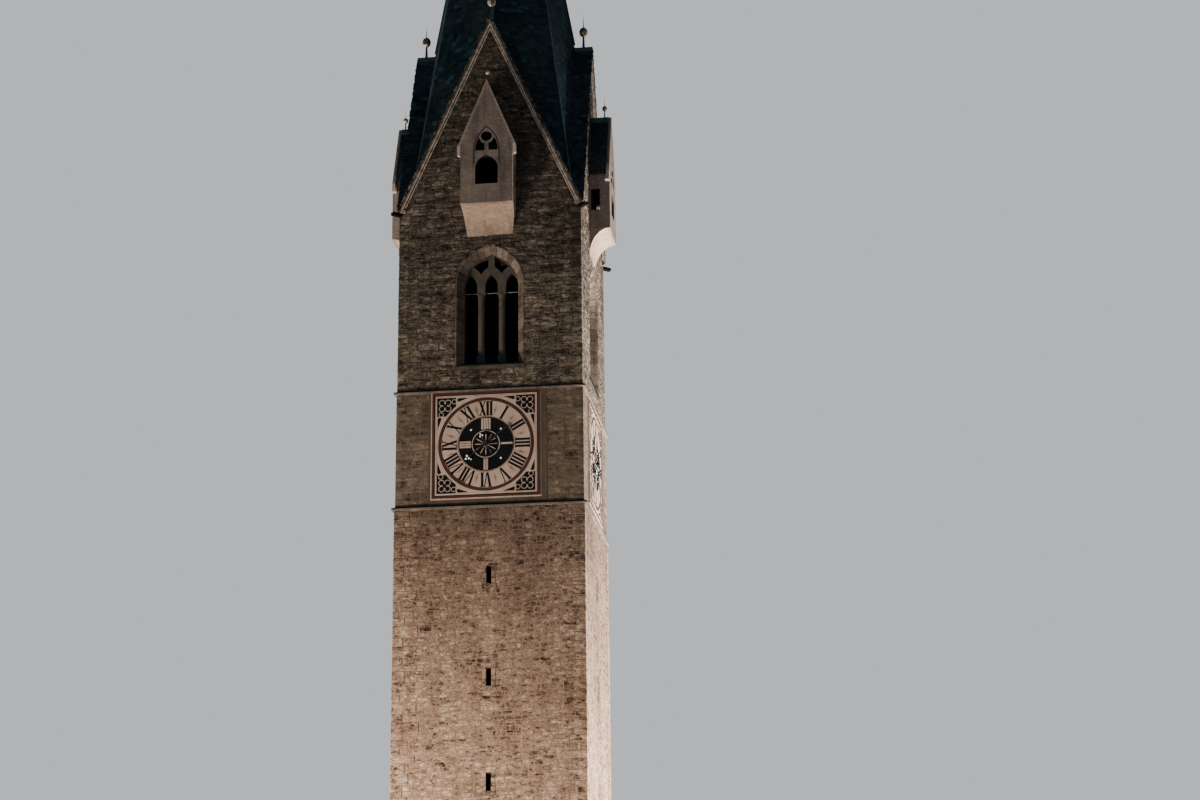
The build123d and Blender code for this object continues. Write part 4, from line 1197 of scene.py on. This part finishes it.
def dial_corners(black, cream):
    """Tracery in the corners: cream rings on a black ground, the same about the diagonal."""
    limit = 1.079
    clear = 1.1
    wing = 0.66
    start = math.asin(wing / clear)
    ground = [(limit, limit), (limit, wing)]
    ground += [(clear * math.cos(a), clear * math.sin(a))
               for a in (lerp(start, math.pi / 2 - start, i / 20) for i in range(21))]
    ground.append((wing, limit))
    drop = [(1.066, 0.38)] + [(1.024 + 0.044 * math.cos(a), 0.592 + 0.044 * math.sin(a))
                              for a in (lerp(0.1, math.pi - 0.35, i / 12) for i in range(13))]
    foil = 0.905
    lobes = (foil - 0.067, foil + 0.067)
    rings = [(a, b, 0.054, 0.069) for a in lobes for b in lobes]
    rings += [(0.99, 0.703, 0.043, 0.056), (0.703, 0.99, 0.043, 0.056)]
    for sx, sz in itertools.product((1, -1), repeat=2):
        def corner(outline):
            return [(DIAL_X + sx * a, DIAL_Z + sz * b) for a, b in outline][::sx * sz]

        for outline in (ground[::-1], drop, [(b, a) for a, b in drop][::-1]):
            plate(black, corner(outline), PAINT_FACE, COAT)
        for a, b, hole, edge in rings:
            band(cream, corner(circle(a, b, hole, 28)), corner(circle(a, b, edge, 28)),
                 PAINT_FACE + COAT - 0.0005, THIN)
        plate(black, corner(circle(foil, foil, 0.044, 20)[::-1]), PAINT_FACE + COAT, 0.0014)


def dials():
    paints = {"black": black_paint, "red": red_paint, "cream": cream_paint, "marks": mark_paint,
              "dots": white_paint}
    piles = {name: Pile() for name in paints}
    dial_rings(piles)
    dial_centre(piles)
    dial_numerals(piles["black"], piles["marks"])
    dial_corners(piles["black"], piles["cream"])
    panel, strip = Pile(), Pile()
    low, high = CLOCK_FOOT + PANEL["clear"], BELFRY_FOOT - PANEL["clear"]
    left, right = panel_hole(0)
    plate(panel, [(left, low), (right, low), (right, high), (left, high)], CLOCK - 0.004, 0.011)
    band(strip, square(DIAL_X, DIAL_Z, DIAL_HALF - 0.004),
         square(DIAL_X, DIAL_Z, DIAL_HALF + BORDER["outside"]), CLOCK + 0.005, 0.0045)
    for side in SIDES:
        for name, pile in piles.items():
            pile.make(f"{side}_dial_{name}", paints[name], "dial_plaster", side)
        panel.make(f"{side}_dial_panel", panel_plaster, "plaster", side)
        strip.make(f"{side}_dial_outline", cream_paint, "dial_plaster", side)


dials()


# Gilding on the balls at the hands' tails, made pale as a painted highlight
def dome(pile, u, z, base, radius, height):
    """The rounded front of a ball, from 46 degrees up."""
    steps, rings = 16, 5
    points = []
    for k in range(rings):
        angle = lerp(math.radians(46), math.pi / 2, k / rings)
        points += [out(a, b, base + height * math.sin(angle))
                   for a, b in circle(u, z, radius * math.cos(angle), steps)]
    points.append(out(u, z, base + height))
    faces = [face for k in range(rings - 1) for face in ring_faces(steps, k * steps, (k + 1) * steps)]
    last = (rings - 1) * steps
    faces += [[last + i, last + (i + 1) % steps, rings * steps] for i in range(steps)]
    pile.add(points, faces)


for kind, hand in HANDS.items():
    base = DIAL_FACE + RING["raised"] + hand["gap"]
    ball = hand["ball"]
    rise = TREFOIL["rise"] * ball - hand["tail"]
    gilding = Pile()
    for across, radius in ((0, -hand["tail"] - ball), (TREFOIL["reach"] * ball, rise),
                           (-TREFOIL["reach"] * ball, rise)):
        dome(gilding, *on_dial(hand["angle"], across, radius), base, ball + 0.0016, ball + 0.001)
    for side in SIDES:
        gilding.make(f"{side}_{kind}_hand_gilding", pale_gilt, "gilt", side, f"{side}_{kind}_hand",
                     smooth=True)


def door_boards():
    """Boards, straps, studs and a ring handle on the entrance door."""
    rng = random.Random(51)
    face = SHAFT - DOOR["reveal"]
    leaf = DOOR["half"]
    radius = leaf + DOOR["spread"]
    foot = DOOR["foot"] + 0.006
    count = 7
    strap_levels = (0.3, 0.75)
    handle, handle_level = leaf - 0.09, 0.56
    pile = Pile()
    for i in range(count):
        a = lerp(-leaf, leaf, i / count) + 0.002
        b = lerp(-leaf, leaf, (i + 1) / count) - 0.002
        top_a, top_b = (DOOR["spring"] + math.sqrt(radius ** 2 - (abs(edge) + DOOR["spread"]) ** 2) - 0.006
                        for edge in (a, b))
        block(pile, [(a, foot), (b, foot), (b, top_b), (a, top_a)], face, 0.014, 0.005, rng.random())
    pile.make("door_boards", old_oak, "door_wood", "back")
    pile = Pile()
    for level in strap_levels:
        block(pile, [(-leaf + 0.01, level - 0.022), (leaf - 0.1, level - 0.012), (leaf - 0.1, level + 0.012),
                     (-leaf + 0.01, level + 0.022)], face + 0.014, 0.006, 0.003, 0.5)
        for i in range(5):
            plate(pile, circle(lerp(-leaf + 0.05, leaf - 0.14, i / 4), level, 0.009, 10), face + 0.018, 0.007)
    plate(pile, circle(handle, handle_level, 0.028, 20), face + 0.013, 0.006)
    ring, hole = (circle(handle, handle_level - 0.03, radius, 24) for radius in (0.034, 0.026))
    band(pile, hole, ring, face + 0.02, 0.008)
    pile.make("door_irons", iron, "hand_iron", "back")


door_boards()


# Floor, lights and camera
def studio():
    """A wide pale floor, a pale backdrop and soft light from all round."""
    below, radius, steps = -0.004, 700.0, 96
    mesh = bpy.data.meshes.new("studio_floor")
    rim = [(x, y, below) for x, y in circle(0, 0, radius, steps)]
    mesh.from_pydata(rim, [], [list(range(steps))])
    n = Nodes("pale_floor")
    mesh.materials.append(n.finish(n.mix(n.patches(0.2, 4, 0.55, 0.3, 0.7), grey(0.7), grey(0.74)), 0.9, []))
    n.feed_all(n.shader, Emission_Color=(0.8, 0.84, 0.88, 1.0), Emission_Strength=0.3)
    floor = bpy.data.objects.new("studio_floor", mesh)
    bpy.context.scene.collection.objects.link(floor)

    world = bpy.data.worlds.new("studio")
    bpy.context.scene.world = world
    world.use_nodes = True
    nodes = world.node_tree.nodes
    link = world.node_tree.links.new
    choose = nodes.new("ShaderNodeMixShader")
    link(nodes.new("ShaderNodeLightPath").outputs["Is Camera Ray"], choose.inputs[0])
    light, backdrop = nodes["Background"], nodes.new("ShaderNodeBackground")
    for socket, background, colour, strength in ((1, light, (0.68, 0.82, 1.0, 1), 0.4),
                                                 (2, backdrop, (0.8, 0.84, 0.88, 1), 0.75)):
        background.inputs["Color"].default_value = colour
        background.inputs["Strength"].default_value = strength
        link(background.outputs[0], choose.inputs[socket])
    link(choose.outputs[0], nodes["World Output"].inputs["Surface"])


def low_light(name, place, power, colour=(1.0, 0.93, 0.84), aim=13.0, cone=84.0):
    """A large soft lamp near the ground, turned up to a height on the tower's axis."""
    light = bpy.data.lights.new(name, "SPOT")
    light.energy = power
    light.color = colour
    light.spot_size = math.radians(cone)
    light.spot_blend = 0.4
    light.shadow_soft_size = 1.2
    lamp = bpy.data.objects.new(name, light)
    lamp.location = place
    lamp.rotation_mode = "QUATERNION"
    lamp.rotation_quaternion = (Vector((0, 0, aim)) - Vector(place)).to_track_quat("-Z", "Y")
    lamp.visible_camera = False
    bpy.context.scene.collection.objects.link(lamp)


def camera():
    """The photo's viewpoint: its place, turn, pitch and roll, and its lens on a 36 mm frame."""
    data = bpy.data.cameras.new("photo_camera")
    data.sensor_width = 36.0
    data.lens = 69.73
    data.clip_end = 1500.0
    place = (8.155, -49.965, 0.8)
    yaw, pitch, roll = -0.1189, 0.2966, -0.0122
    view = bpy.data.objects.new("photo_camera", data)
    view.matrix_world = (Matrix.Translation(place) @ Matrix.Rotation(-yaw, 4, "Z")
                         @ Matrix.Rotation(math.pi / 2 + pitch, 4, "X") @ Matrix.Rotation(roll, 4, "Z"))
    bpy.context.scene.collection.objects.link(view)
    bpy.context.scene.camera = view


studio()
low_light("front_light", (-12.8, -11.2, 2.6), 30000)
low_light("right_light", (21.0, 4.0, 2.6), 118000, (0.97, 0.98, 1.0), 10.5, 58.0)
low_light("right_high_light", (8.0, 3.0, 2.6), 42000, (0.95, 0.98, 1.0), 22.6, 22.0)
low_light("back_light", (10.0, 16.0, 2.6), 40000)
low_light("left_light", (-18.0, 3.0, 2.6), 40000, (0.95, 0.97, 1.0))
camera()
